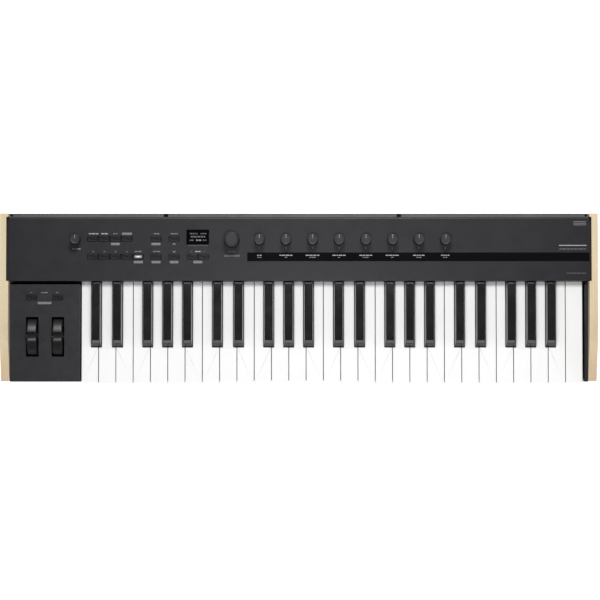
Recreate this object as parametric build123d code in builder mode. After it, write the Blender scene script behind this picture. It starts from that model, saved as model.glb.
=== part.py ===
"""Compact 49-note MIDI controller keyboard with wooden end cheeks.

Millimetres, +Z up, player sits on the -Y side, bass end at -X.
Origin: centre of the footprint, on the plane the rubber feet stand on.
"""
from build123d import *
import os

os.makedirs("parts", exist_ok=True)

# ------------------------------------------------------------------ driving dimensions
HALF_W = 404.0          # half of the overall width, over the wooden cheeks
FRONT_Y = -115.0        # front face of the white keys
REAR_Y = 115.0          # rear edge of the cheeks and of the rear rail
FOOT_H = 4.0            # rubber foot height below the case floor

PITCH = 23.5            # white key pitch
KEY_X0 = -295.7         # left edge of the lowest white key
N_WHITE = 29
KEY_GAP = 0.9           # gap between two white keys
KEY_TOP = 48.0          # top of the white keys
BLACK_TOP = 60.0        # top of the black keys
SKIRT_Z = 36.0          # lower edge of the key sides
LIP_Z = 28.0            # lower edge of the white key's front face
HEAD_Y = -66.4          # rear end of the wide white key head
BLACK_FRONT = -65.0     # foot of the black key's nose
BLACK_NOSE = -57.3      # top edge of the black key's nose
BLACK_REAR = 21.7       # rear end of the black key's raised body
BLACK_W = 13.7          # black key width at its foot
BLACK_TOP_W = 10.6      # black key width at its top
NOTCH_W = 14.8          # width of the gap for a black key
NECK_END = 60.0
SHANK_W = 9.0
TAIL_Y = 92.0
PIVOT_Y, PIVOT_Z = 75.0, 34.0
ROD_R = 1.5

PANEL_TOP = 64.0
PANEL_T = 2.5
PANEL_X = 393.7
RABBET_X = 395.1        # outer wall of the cheeks' rabbet, a shadow gap away from the panel
PANEL_FRONT, PANEL_REAR = 23.5, 109.3
LIP_BOTTOM = 50.6       # lower edge of the panel's front lip

CHEEK_IN = 392.5        # inner face of the wooden cheeks
CHEEK_TOP = 71.0        # the cheeks stand a little above the panel
BLOCK_REAR_Z, BLOCK_FRONT_Z = 58.0, 50.4   # top of the wheel block and of the right block
BLOCK_Y0, BLOCK_Y1 = -113.0, 19.5

WHEEL_R, WHEEL_W = 28.0, 13.0
WHEEL_Y, WHEEL_Z = -52.0, 38.0
WHEEL_X = (-361.6, -326.8)

KNOB_X = (-53.3, -17.4, 18.5, 54.4, 90.5, 126.4, 162.2, 198.1)
KNOB_Y = 79.0
VOLUME_X = -302.0
ENCODER_X = -90.8

CAP_W, CAP_D = 14.0, 6.5
ROW_U, ROW_L = 80.6, 56.3
UPPER_X = (-279.1, -263.65, -248.2, -232.75)
LOWER_X = (-279.1, -263.65, -248.2, -232.75, -217.3)
BLOCK_X = (-193.3, -168.9)
PAGE_X = (-144.2, -128.8)
OCTAVE_X = (-362.2, -327.0)
OCTAVE_Y = 1.3

DISPLAY = (-152.1, -121.7, 73.1, 92.8)
STRIP = (-69.8, 393.6, 50.3, 61.9)
BOARD_Z = 53.0
CAP_TOP = 65.1


def block_top(y):
    """Height of the sloping top of the wheel block at y."""
    return BLOCK_FRONT_Z + (BLOCK_REAR_Z - BLOCK_FRONT_Z) * (y - BLOCK_Y0) / (BLOCK_Y1 - BLOCK_Y0)


def save(piece, label):
    piece.part.label = label
    export_step(piece.part, "parts/" + label + ".step")


# ------------------------------------------------------------------ the key set
# white gap index -> sideways offset of the black key that stands over it
BLACK_SHIFT = {"cs": (1, -2.9), "ds": (2, 2.3), "fs": (4, -3.7), "gs": (5, -0.1), "as": (6, 3.4)}
WHITES = ["c", "d", "e", "f", "g", "a", "b"]


def neck_of(name):
    """Left and right edge of a white key's narrow neck, from the key's own left boundary."""
    i = WHITES.index(name)
    left, right = KEY_GAP / 2, PITCH - KEY_GAP / 2
    for gap, shift in BLACK_SHIFT.values():
        if gap == i:
            left = shift + NOTCH_W / 2
        if gap == i + 1:
            right = PITCH + shift - NOTCH_W / 2
    return left, right


def white_key(name, full=False):
    x0, x1 = KEY_GAP / 2, PITCH - KEY_GAP / 2
    a, b = (x0, x1) if full else neck_of(name)
    cx = (a + b) / 2
    with BuildPart() as key:
        # solid outline of head and neck
        with BuildSketch(Plane.XY.offset(SKIRT_Z)):
            with BuildLine():
                pts = [(x0, FRONT_Y), (x1, FRONT_Y)]
                if b < x1 - 0.01:
                    pts += [(x1, HEAD_Y), (b, HEAD_Y), (b, NECK_END)]
                else:
                    pts += [(x1, NECK_END)]
                if a > x0 + 0.01:
                    pts += [(a, NECK_END), (a, HEAD_Y), (x0, HEAD_Y)]
                else:
                    pts += [(x0, NECK_END)]
                Polyline(*pts, close=True)
            make_face()
        extrude(amount=KEY_TOP - SKIRT_Z)
        # front face hangs lower than the sides
        with BuildSketch(Plane.XY.offset(LIP_Z)):
            with Locations(((x0 + x1) / 2, FRONT_Y + 3.0)):
                Rectangle(x1 - x0, 6.0)
        extrude(amount=SKIRT_Z - LIP_Z)
        front_corners = key.edges().filter_by(Axis.Z).filter_by_position(Axis.Y, FRONT_Y - 0.1, FRONT_Y + 0.1)
        fillet(front_corners, 1.1)
        fillet(key.faces().sort_by(Axis.Z)[-1].edges(), 0.7)
        # hollow underside
        with BuildSketch(Plane.XY.offset(LIP_Z)):
            with Locations(((x0 + x1) / 2, (FRONT_Y + HEAD_Y) / 2)):
                Rectangle(x1 - x0 - 3.6, HEAD_Y - FRONT_Y - 4.0)
            with Locations((cx, (HEAD_Y - 6.0 + 55.0) / 2)):
                Rectangle(b - a - 3.2, 55.0 - HEAD_Y + 6.0)
        extrude(amount=KEY_TOP - 2.6 - LIP_Z, mode=Mode.SUBTRACT)
        # plunger above the contact dome
        with BuildSketch(Plane.XY.offset(27.8)):
            with Locations((cx, -16.0)):
                Rectangle(6.0, 8.0)
        extrude(amount=KEY_TOP - 1.5 - 27.8)
        # cross web that carries the plunger
        with BuildSketch(Plane.XY.offset(SKIRT_Z + 2)):
            with Locations((cx, -16.0)):
                Rectangle(b - a - 1.0, 1.6)
        extrude(amount=KEY_TOP - 1.5 - SKIRT_Z - 2)
        # narrow rear shank with the pivot bore
        with BuildSketch(Plane.XY.offset(27.3)):
            with Locations((cx, (52.0 + TAIL_Y) / 2)):
                Rectangle(SHANK_W, TAIL_Y - 52.0)
        extrude(amount=40.0 - 27.3)
        with Locations((cx, PIVOT_Y, PIVOT_Z)):
            Cylinder(ROD_R + 0.06, 14.0, rotation=(0, 90, 0), mode=Mode.SUBTRACT)
    return key.part, cx


def black_key():
    hw, ht = BLACK_W / 2, BLACK_TOP_W / 2
    with BuildPart() as key:
        # raised body from its side profile
        with BuildSketch(Plane.YZ.offset(-hw)):
            with BuildLine():
                Polyline(
                    (BLACK_FRONT, 42.0), (BLACK_FRONT, 50.2), (-62.3, 56.2), (BLACK_NOSE, BLACK_TOP),
                    (BLACK_REAR, BLACK_TOP), (BLACK_REAR, 42.0), close=True,
                )
            make_face()
        extrude(amount=BLACK_W)
        # leaning sides
        for s in (-1, 1):
            with BuildSketch(Plane.XZ.offset(-BLACK_REAR - 1)):
                with BuildLine():
                    Polyline((s * hw, 49.0), (s * ht, BLACK_TOP + 0.2), (s * (hw + 2), BLACK_TOP + 0.2), (s * (hw + 2), 49.0), close=True)
                make_face()
            extrude(amount=BLACK_REAR - BLACK_FRONT + 2, mode=Mode.SUBTRACT)
        top = key.faces().sort_by(Axis.Z)[-1]
        fillet(top.edges().filter_by(Axis.Y), 1.2)
        # lower body that runs back under the panel
        with BuildSketch(Plane.XY.offset(SKIRT_Z + 2)):
            with Locations((0, (BLACK_FRONT + NECK_END) / 2)):
                Rectangle(BLACK_W, NECK_END - BLACK_FRONT)
        extrude(amount=KEY_TOP - 0.6 - SKIRT_Z - 2)
        # hollow underside
        with BuildSketch(Plane.XY.offset(SKIRT_Z)):
            with Locations((0, (BLACK_FRONT + 5 + 18.0) / 2)):
                Rectangle(8.2, 18.0 - BLACK_FRONT - 5)
        extrude(amount=55.0 - SKIRT_Z, mode=Mode.SUBTRACT)
        with BuildSketch(Plane.XY.offset(SKIRT_Z)):
            with Locations((0, (22.0 + 55.0) / 2)):
                Rectangle(9.6, 55.0 - 22.0)
        extrude(amount=44.8 - SKIRT_Z, mode=Mode.SUBTRACT)
        # plunger, web and shank
        with BuildSketch(Plane.XY.offset(27.8)):
            with Locations((0, -16.0)):
                Rectangle(6.0, 8.0)
        extrude(amount=56.0 - 27.8)
        with BuildSketch(Plane.XY.offset(SKIRT_Z + 3)):
            with Locations((0, -16.0)):
                Rectangle(10.0, 1.6)
        extrude(amount=56.0 - SKIRT_Z - 3)
        with BuildSketch(Plane.XY.offset(27.3)):
            with Locations((0, (52.0 + TAIL_Y) / 2)):
                Rectangle(SHANK_W, TAIL_Y - 52.0)
        extrude(amount=40.0 - 27.3)
        with Locations((0, PIVOT_Y, PIVOT_Z)):
            Cylinder(ROD_R + 0.06, 14.0, rotation=(0, 90, 0), mode=Mode.SUBTRACT)
    return key.part


ORDER = ["c", "cs", "d", "ds", "e", "f", "fs", "g", "gs", "a", "as", "b"]
white_shape = {n: white_key(n) for n in WHITES}
top_c_shape = white_key("c", full=True)
black_shape = black_key()


def key_place(name, octave):
    """Solid, X of its own left boundary (white) or centre (black), and X of its centre line."""
    left = KEY_X0 + (octave - 1) * 7 * PITCH
    if name in BLACK_SHIFT:
        gap, shift = BLACK_SHIFT[name]
        x = left + gap * PITCH + shift
        return black_shape, x, x
    shape, cx = top_c_shape if octave == 5 else white_shape[name]
    x = left + WHITES.index(name) * PITCH
    return shape, x, x + cx


all_centres = []        # (name, octave, X centre)
for first in (1, 2):
    for name in ORDER:
        octaves = [first, first + 2] + ([5] if (name == "c" and first == 1) else [])
        with BuildPart() as keys:
            for octave in octaves:
                shape, x, centre = key_place(name, octave)
                with Locations((x, 0, 0)):
                    add(shape)
                all_centres.append((name, octave, centre))
        label = "keys_" + "_".join(name + str(o) for o in octaves)
        save(keys, label)

white_centres = [c for n, o, c in all_centres if n not in BLACK_SHIFT]
black_centres = [c for n, o, c in all_centres if n in BLACK_SHIFT]
# X of the boundaries E|F and B|C, where the chassis ribs stand
rib_x = []
for octave in (1, 2, 3, 4):
    left = KEY_X0 + (octave - 1) * 7 * PITCH
    rib_x += [left + 3 * PITCH, left + 7 * PITCH]
rib_x = [KEY_X0 + 0.6] + rib_x[:-1] + [KEY_X0 + 28 * PITCH, KEY_X0 + N_WHITE * PITCH - 1.2]

# ------------------------------------------------------------------ key bed
CH0, CH1 = -296.4, 387.6
SCREWS = [(x, y) for x in (-275, -115, 45, 205, 365) for y in (-75, 75)]
with BuildPart() as key_chassis:
    with BuildSketch(Plane.XY.offset(10.0)):
        with Locations(((CH0 + CH1) / 2, 0)):
            Rectangle(CH1 - CH0, 196.0)
        with Locations(*[((CH0 + CH1) / 2 + (i - 3.5) * 82.0, 0) for i in range(8)]):
            Rectangle(40.0, 26.0, mode=Mode.SUBTRACT)
    extrude(amount=2.5)
    # front channel: shelf for the stop felt
    with BuildSketch(Plane.YZ.offset(CH0)):
        with BuildLine():
            Polyline((-98, 12.5), (-98, 24.5), (-74, 24.5), (-74, 12.5), (-76, 12.5), (-76, 22.5), (-96, 22.5), (-96, 12.5), close=True)
        make_face()
    extrude(amount=CH1 - CH0)
    # guide tabs inside the white key heads
    with BuildSketch(Plane.XY.offset(24.5)):
        with Locations(*[(KEY_X0 + (i + 0.5) * PITCH, -75.0) for i in range(N_WHITE)]):
            Rectangle(5.0, 2.0)
    extrude(amount=9.5)
    # guide tabs inside the black keys
    with BuildSketch(Plane.XY.offset(12.5)):
        with Locations(*[(c, -47.0) for c in black_centres]):
            Rectangle(5.0, 2.4)
    extrude(amount=31.0)
    # ribs that hold the pivot rod
    with BuildSketch(Plane.XY.offset(12.5)):
        with Locations(*[(x, PIVOT_Y) for x in rib_x]):
            Rectangle(2.4, 16.0)
    extrude(amount=28.0)
    with Locations(((CH0 + CH1) / 2, PIVOT_Y, PIVOT_Z)):
        Cylinder(ROD_R + 0.05, CH1 - CH0 + 20, rotation=(0, 90, 0), mode=Mode.SUBTRACT)
    # rear felt shelf
    with BuildSketch(Plane.XY.offset(12.5)):
        with Locations(((CH0 + CH1) / 2, 91.3)):
            Rectangle(CH1 - CH0, 3.4)
    extrude(amount=11.5)
    # feet of the chassis on the case floor
    with BuildSketch(Plane.XY.offset(7.0)):
        with Locations(*SCREWS):
            Circle(5.0)
    extrude(amount=3.0)
    with BuildSketch(Plane.XY.offset(7.0)):
        with Locations(*SCREWS):
            Circle(1.55)
    extrude(amount=5.5, mode=Mode.SUBTRACT)
    # standoffs of the contact board
    with BuildSketch(Plane.XY.offset(12.5)):
        with Locations(*[(x, y) for x in (-282.4, -118.4, 45.6, 209.6, 373.6) for y in (-37.5, 7.5)]):
            Circle(2.0)
    extrude(amount=3.5)
save(key_chassis, "key_chassis")

with BuildPart() as key_pivot_rod:
    with Locations(((CH0 + CH1) / 2, PIVOT_Y, PIVOT_Z)):
        Cylinder(ROD_R, CH1 - CH0, rotation=(0, 90, 0))
    chamfer(key_pivot_rod.edges().filter_by(GeomType.CIRCLE), 0.3)
save(key_pivot_rod, "key_pivot_rod")

# one return spring under each key tail: wound body with a hook end top and bottom
with BuildPart() as one_spring:
    with BuildSketch(Plane.XZ):
        with BuildLine():
            pts = [(0, 12.7), (1.0, 12.7), (1.0, 14.2), (1.7, 14.2)]
            z = 14.2
            for _ in range(7):
                pts += [(2.2, z + 0.65), (1.75, z + 1.3)]
                z += 1.3
            pts += [(1.0, z + 0.1), (1.0, 26.9), (0, 26.9)]
            Polyline(*pts, close=True)
        make_face()
    revolve(axis=Axis.Z)
with BuildPart() as key_springs:
    for n, o, c in all_centres:
        with Locations((c, 85.5, 0)):
            add(one_spring.part)
save(key_springs, "key_springs")

with BuildPart() as key_felts:
    with BuildSketch(Plane.XY.offset(24.5)):
        with Locations(((CH0 + CH1) / 2, -86.0)):
            Rectangle(CH1 - CH0 - 4, 15.0)
    extrude(amount=2.3)
    with BuildSketch(Plane.XY.offset(24.0)):
        with Locations(((CH0 + CH1) / 2, 91.3)):
            Rectangle(CH1 - CH0 - 4, 3.4)
    extrude(amount=3.0)
save(key_felts, "key_felts")

with BuildPart() as one_dome:
    with BuildSketch(Plane.XZ):
        with BuildLine():
            Polyline((0, 18.4), (3.9, 18.4), (3.3, 19.6), (2.6, 21.4), (2.3, 22.8), (0, 22.8), close=True)
        make_face()
    revolve(axis=Axis.Z)
with BuildPart() as contact_board:
    with BuildSketch(Plane.XY.offset(16.0)):
        with Locations(((CH0 + CH1) / 2, -15.0)):
            Rectangle(CH1 - CH0 - 3, 54.0)
    extrude(amount=1.6)
    # moulded rubber strip with one dome for each key
    with BuildSketch(Plane.XY.offset(17.65)):
        with Locations(((CH0 + CH1) / 2, -16.0)):
            Rectangle(CH1 - CH0 - 8, 14.0)
    extrude(amount=0.8)
    for n, o, c in all_centres:
        with Locations((c, -16.0, 0)):
            add(one_dome.part)
save(contact_board, "contact_board")

# ------------------------------------------------------------------ lower case
CASE_X = 391.8
CASE_Y0 = BLOCK_Y0 + 1.7
JACK_X0, JACK_X1 = -387.0, -299.0
with BuildPart() as bottom_case:
    # floor
    with BuildSketch(Plane.XY.offset(FOOT_H)):
        with Locations((0, (CASE_Y0 + 112.3) / 2)):
            Rectangle(2 * CASE_X, 112.3 - CASE_Y0)
    extrude(amount=3.0)
    # front wall below the keys
    with BuildSketch(Plane.XY.offset(FOOT_H + 3.0)):
        with Locations(((KEY_X0 + 387.6) / 2, CASE_Y0 + 1.25)):
            Rectangle(387.6 - KEY_X0, 2.5)
    extrude(amount=10.0)
    # rear wall
    with BuildSketch(Plane.XY.offset(FOOT_H + 3.0)):
        with Locations((0, 111.05)):
            Rectangle(2 * CASE_X, 2.5)
    extrude(amount=48.0)
    # side walls: low beside the keys, high below the panel
    for s in (-1, 1):
        with BuildSketch(Plane.YZ.offset(s * (CASE_X - 1.25) - 1.25)):
            with BuildLine():
                Polyline((-110.2, 7.0), (-110.2, 44.0), (21.0, 44.0), (21.0, 49.4), (26.9, 49.4), (26.9, 61.2), (106.6, 61.2), (106.6, 54.8), (112.3, 54.8), (112.3, 7.0), close=True)
            make_face()
        extrude(amount=2.5)
    # window for the connector plate
    with BuildSketch(Plane.XZ.offset(-113.0)):
        with Locations(((JACK_X0 + JACK_X1) / 2, 32.0)):
            Rectangle(JACK_X1 - JACK_X0, 26.0)
    extrude(amount=5.0, mode=Mode.SUBTRACT)
    # stiffening ribs along the floor
    with BuildSketch(Plane.XY.offset(FOOT_H + 3.0)):
        with Locations(*[(x, 0) for x in (-240, -80, 80, 240)]):
            Rectangle(1.8, 190.0)
    extrude(amount=2.2)
    # countersunk holes for the floor screws
    with BuildSketch(Plane.XY.offset(FOOT_H)):
        with Locations(*SCREWS):
            Circle(3.7)
    extrude(amount=1.6, mode=Mode.SUBTRACT)
    with BuildSketch(Plane.XY.offset(FOOT_H)):
        with Locations(*SCREWS):
            Circle(1.8)
    extrude(amount=3.5, mode=Mode.SUBTRACT)
save(bottom_case, "bottom_case")

with BuildPart() as case_screws:
    with BuildSketch(Plane.XY.offset(FOOT_H + 0.2)):
        with Locations(*SCREWS):
            Circle(3.3)
    extrude(amount=1.3)
    with BuildSketch(Plane.XY.offset(FOOT_H + 1.5)):
        with Locations(*SCREWS):
            Circle(1.5)
    extrude(amount=6.6)
    # cross recess in each head
    with BuildSketch(Plane.XY.offset(FOOT_H + 0.2)):
        with Locations(*SCREWS):
            Rectangle(3.4, 0.8)
        with Locations(*SCREWS):
            Rectangle(0.8, 3.4)
    extrude(amount=0.9, mode=Mode.SUBTRACT)
save(case_screws, "case_screws")

FEET = [(x, y) for x in (-362, 0, 362) for y in (-88, 88)]
with BuildPart() as rubber_feet:
    with BuildSketch(Plane.XY):
        with Locations(*FEET):
            Circle(10.0)
    extrude(amount=FOOT_H)
    fillet(rubber_feet.edges().group_by(Axis.Z)[0], 1.2)
save(rubber_feet, "rubber_feet")

# ------------------------------------------------------------------ top panel
knob_holes = [(x, KNOB_Y) for x in KNOB_X] + [(VOLUME_X, KNOB_Y), (ENCODER_X, KNOB_Y)]


def slot(x_first, x_last, y):
    """Centre, width and depth of the opening round a run of button caps."""
    return ((x_first + x_last) / 2, y), x_last - x_first + CAP_W + 1.0, CAP_D + 1.0


panel_slots = [slot(UPPER_X[0], UPPER_X[-1], ROW_U), slot(LOWER_X[0], LOWER_X[-1], ROW_L),
               slot(PAGE_X[0], PAGE_X[-1], ROW_L)]
panel_slots += [slot(x, x, y) for x in BLOCK_X for y in (ROW_U, ROW_L)]
POSTS = [(-308, 92), (-214, 92), (-155.5, 66), (-110, 94), (-36, 92), (36, 92), (108, 92), (180, 92),
         (-308, 48), (-205, 66), (-110, 48), (-36, 47), (72, 47), (200, 47)]
with BuildPart() as top_panel:
    # folded cover: flat top, front lip and rear lip
    with BuildSketch(Plane.YZ.offset(-CHEEK_IN + 0.3)):
        with BuildLine():
            Polyline(
                (PANEL_FRONT - 0.7, LIP_BOTTOM), (PANEL_FRONT, PANEL_TOP), (PANEL_REAR, PANEL_TOP), (PANEL_REAR, 55.4),
                (PANEL_REAR - 2.3, 55.4), (PANEL_REAR - 2.3, PANEL_TOP - PANEL_T), (PANEL_FRONT + 2.5, PANEL_TOP - PANEL_T),
                (PANEL_FRONT + 1.9, LIP_BOTTOM), close=True,
            )
        make_face()
    extrude(amount=2 * (CHEEK_IN - 0.3))
    fillet(top_panel.edges().filter_by(Axis.X).filter_by_position(Axis.Z, PANEL_TOP - 0.01, PANEL_TOP + 0.01), 1.3)
    # flanges that rest in the rabbets of the cheeks
    with BuildSketch(Plane.XY.offset(PANEL_TOP - PANEL_T)):
        for s in (-1, 1):
            with Locations((s * (CHEEK_IN - 1.0 + PANEL_X) / 2, (PANEL_FRONT + PANEL_REAR) / 2)):
                Rectangle(PANEL_X - CHEEK_IN + 1.0, PANEL_REAR - PANEL_FRONT - 1.6)
    extrude(amount=PANEL_T)
    # screw posts down to the panel board
    with BuildSketch(Plane.XY.offset(BOARD_Z + 1.6)):
        with Locations(*POSTS):
            Circle(2.6)
    extrude(amount=PANEL_TOP - PANEL_T - BOARD_Z - 1.6)
    # openings
    with BuildSketch(Plane.XY.offset(PANEL_TOP - PANEL_T - 0.5)):
        with Locations(*knob_holes):
            Circle(3.9)
        for centre, w, d in panel_slots:
            with Locations(centre):
                RectangleRounded(w, d, 1.2)
        with Locations(((DISPLAY[0] + DISPLAY[1]) / 2, (DISPLAY[2] + DISPLAY[3]) / 2)):
            RectangleRounded(DISPLAY[1] - DISPLAY[0] + 0.5, DISPLAY[3] - DISPLAY[2] + 0.5, 0.8)
    extrude(amount=PANEL_T + 1.0, mode=Mode.SUBTRACT)
    # shallow seat of the glossy label strip
    with BuildSketch(Plane.XY.offset(PANEL_TOP - 0.5)):
        with Locations(((STRIP[0] + PANEL_X + 2) / 2, (STRIP[2] + STRIP[3]) / 2)):
            Rectangle(PANEL_X + 2 - STRIP[0] + 0.3, STRIP[3] - STRIP[2] + 0.3)
    extrude(amount=1.0, mode=Mode.SUBTRACT)
save(top_panel, "top_panel")

with BuildPart() as label_strip:
    with BuildSketch(Plane.XY.offset(PANEL_TOP - 0.5)):
        with Locations(((STRIP[0] + STRIP[1]) / 2, (STRIP[2] + STRIP[3]) / 2)):
            Rectangle(STRIP[1] - STRIP[0], STRIP[3] - STRIP[2])
    extrude(amount=0.6)
    chamfer(label_strip.faces().sort_by(Axis.Z)[-1].edges(), 0.15)
save(label_strip, "label_strip")

with BuildPart() as display_window:
    with BuildSketch(Plane.XY.offset(62.3)):
        with Locations(((DISPLAY[0] + DISPLAY[1]) / 2, (DISPLAY[2] + DISPLAY[3]) / 2)):
            RectangleRounded(DISPLAY[1] - DISPLAY[0], DISPLAY[3] - DISPLAY[2], 0.6)
    extrude(amount=1.6)
    chamfer(display_window.faces().sort_by(Axis.Z)[-1].edges(), 0.2)
save(display_window, "display_window")

# ------------------------------------------------------------------ panel board
all_caps = [(x, ROW_U) for x in UPPER_X] + [(x, ROW_L) for x in LOWER_X + PAGE_X]
all_caps += [(x, y) for x in BLOCK_X for y in (ROW_U, ROW_L)]
with BuildPart() as panel_board:
    with BuildSketch(Plane.XY.offset(BOARD_Z)):
        with Locations((-50.0, 70.0)):
            Rectangle(524.0, 52.0)
    extrude(amount=1.6)
    # potentiometer and encoder bodies with their threaded bushings
    with BuildSketch(Plane.XY.offset(BOARD_Z + 1.65)):
        with Locations(*knob_holes):
            Rectangle(11.0, 12.0)
    extrude(amount=6.4)
    with BuildSketch(Plane.XY.offset(BOARD_Z + 8.05)):
        with Locations(*knob_holes):
            Circle(3.5)
    extrude(amount=66.6 - BOARD_Z - 8.05)
    with BuildSketch(Plane.XY.offset(BOARD_Z + 5.0)):
        with Locations(*knob_holes):
            Circle(3.0)
    extrude(amount=12.0, mode=Mode.SUBTRACT)
    # push switches below the caps
    with BuildSketch(Plane.XY.offset(BOARD_Z + 1.65)):
        with Locations(*all_caps):
            Rectangle(6.0, 6.0)
    extrude(amount=2.4)
    with BuildSketch(Plane.XY.offset(BOARD_Z + 4.0)):
        with Locations(*all_caps):
            Circle(1.6)
    extrude(amount=1.5)
    # display module below the window
    with BuildSketch(Plane.XY.offset(BOARD_Z + 1.65)):
        with Locations(((DISPLAY[0] + DISPLAY[1]) / 2, (DISPLAY[2] + DISPLAY[3]) / 2 + 0.5)):
            Rectangle(31.0, 21.0)
    extrude(amount=5.6)
save(panel_board, "panel_board")


# ------------------------------------------------------------------ knobs
def knob(name, x, r_top, r_base, z_top, r_pointer):
    z0 = PANEL_TOP + 0.4
    with BuildPart() as k:
        with BuildSketch(Plane.XZ):
            with BuildLine():
                Polyline(
                    (3.05, 67.4), (4.6, 67.4), (4.6, 71.0), (r_base - 1.5, 71.0), (r_base - 1.4, z0), (r_base, z0),
                    (r_base, z0 + 1.2), (r_top + 0.35, z_top - 1.2), (r_top - 0.4, z_top), (0, z_top), (0, z_top - 2.2),
                    (3.05, z_top - 2.2), close=True,
                )
            make_face()
        revolve(axis=Axis.Z)
        # pointer groove on the cap
        if r_pointer:
            with BuildSketch(Plane.XY.offset(z_top - 0.4)):
                with Locations((0, r_top - r_pointer / 2)):
                    Rectangle(1.1, r_pointer)
            extrude(amount=1.0, mode=Mode.SUBTRACT)
    with BuildPart() as shaft:
        with BuildSketch(Plane.XY.offset(BOARD_Z + 5.4)):
            Circle(2.95)
        extrude(amount=z_top - 2.4 - BOARD_Z - 5.4)
        chamfer(shaft.edges().group_by(Axis.Z)[-1], 0.4)
    with BuildPart() as placed:
        with Locations((x, KNOB_Y, 0)):
            add(k.part)
            add(shaft.part)
    save(placed, name)


for i, x in enumerate(KNOB_X):
    knob("knob_" + str(i + 1), x, 6.8, 7.5, 78.5, 5.2)
knob("volume_knob", VOLUME_X, 6.2, 7.0, 78.0, 4.6)
knob("value_encoder", ENCODER_X, 9.9, 10.9, 79.6, 0)


# ------------------------------------------------------------------ push buttons
def button_caps(name, centres, webs, top, z_web):
    """One moulding: caps that stand through the panel, joined below it by a thin web."""
    with BuildPart() as b:
        with BuildSketch(Plane.XY.offset(z_web + 1.0)):
            with Locations(*centres):
                RectangleRounded(CAP_W, CAP_D, 1.0)
        extrude(amount=top - z_web - 1.0)
        fillet(b.faces().group_by(Axis.Z)[-1].edges(), 0.45)
        with BuildSketch(Plane.XY.offset(z_web)):
            for cx, cy, w, d in webs:
                with Locations((cx, cy)):
                    Rectangle(w, d)
        extrude(amount=1.5)
    save(b, name)


WEB_Z = 59.6
button_caps("upper_button_row", [(x, ROW_U) for x in UPPER_X],
            [((UPPER_X[0] + UPPER_X[-1]) / 2, ROW_U, UPPER_X[-1] - UPPER_X[0] + CAP_W + 2.4, CAP_D + 2.4)], CAP_TOP, WEB_Z)
button_caps("lower_button_row", [(x, ROW_L) for x in LOWER_X],
            [((LOWER_X[0] + LOWER_X[-1]) / 2, ROW_L, LOWER_X[-1] - LOWER_X[0] + CAP_W + 2.4, CAP_D + 2.4)], CAP_TOP, WEB_Z)
mid_x = (BLOCK_X[0] + BLOCK_X[1]) / 2
button_caps("centre_button_block", [(x, y) for x in BLOCK_X for y in (ROW_U, ROW_L)],
            [(mid_x, y, BLOCK_X[1] - BLOCK_X[0] + CAP_W + 2.4, CAP_D + 2.4) for y in (ROW_U, ROW_L)]
            + [(mid_x, (ROW_U + ROW_L) / 2, 6.0, ROW_U - ROW_L)], CAP_TOP, WEB_Z)
button_caps("page_button_pair", [(x, ROW_L) for x in PAGE_X],
            [((PAGE_X[0] + PAGE_X[-1]) / 2, ROW_L, PAGE_X[-1] - PAGE_X[0] + CAP_W + 2.4, CAP_D + 2.4)], CAP_TOP, WEB_Z)

# ------------------------------------------------------------------ wheel block
BX0, BX1 = -392.0, -296.6
oct_top = block_top(OCTAVE_Y)
with BuildPart() as wheel_panel:
    with BuildSketch(Plane.YZ.offset(BX0)):
        with BuildLine():
            Polyline((BLOCK_Y0 + 1.7, 7.3), (BLOCK_Y0, BLOCK_FRONT_Z), (BLOCK_Y1, BLOCK_REAR_Z), (BLOCK_Y1, 46.0), (BLOCK_Y1 - 12, 7.3), close=True)
        make_face()
    extrude(amount=BX1 - BX0)
    outer = wheel_panel.edges().filter_by(Axis.X)
    fillet(outer.filter_by_position(Axis.Z, BLOCK_FRONT_Z - 0.1, BLOCK_FRONT_Z + 0.1), 1.5)
    fillet(wheel_panel.edges().filter_by(Axis.X).filter_by_position(Axis.Z, BLOCK_REAR_Z - 0.1, BLOCK_REAR_Z + 0.1), 1.2)
    # hollow inside, open below and to the left
    with BuildSketch(Plane.YZ.offset(BX0 - 1)):
        with BuildLine():
            Polyline((BLOCK_Y0 + 4.2, 6.0), (BLOCK_Y0 + 2.5, BLOCK_FRONT_Z - 2.3), (BLOCK_Y1 - 2.2, BLOCK_REAR_Z - 2.6), (BLOCK_Y1 - 2.2, 46.0), (BLOCK_Y1 - 14.2, 6.0), close=True)
        make_face()
    extrude(amount=BX1 - BX0 + 1 - 2.2, mode=Mode.SUBTRACT)
    # relief for the side wall of the lower case
    with BuildSketch(Plane.XY.offset(0.0)):
        with Locations((BX0 + 1.0, (BLOCK_Y0 + 2.5 + BLOCK_Y1 + 5) / 2)):
            Rectangle(5.0, BLOCK_Y1 + 5 - BLOCK_Y0 - 2.5)
    extrude(amount=44.3, mode=Mode.SUBTRACT)
    # wheel slots and the two button pockets
    with BuildSketch(Plane.XY.offset(40.0)):
        with Locations(*[(x, WHEEL_Y) for x in WHEEL_X]):
            RectangleRounded(17.0, 53.8, 1.0)
        with Locations(*[(x, OCTAVE_Y) for x in OCTAVE_X]):
            RectangleRounded(CAP_W + 1.0, CAP_D + 1.0, 1.2)
    extrude(amount=30.0, mode=Mode.SUBTRACT)
save(wheel_panel, "wheel_panel")

button_caps("octave_button_pair", [(x, OCTAVE_Y) for x in OCTAVE_X],
            [((OCTAVE_X[0] + OCTAVE_X[1]) / 2, OCTAVE_Y, OCTAVE_X[1] - OCTAVE_X[0] + CAP_W + 2.4, CAP_D + 2.4)],
            oct_top + 1.0, oct_top - 4.6)


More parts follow.
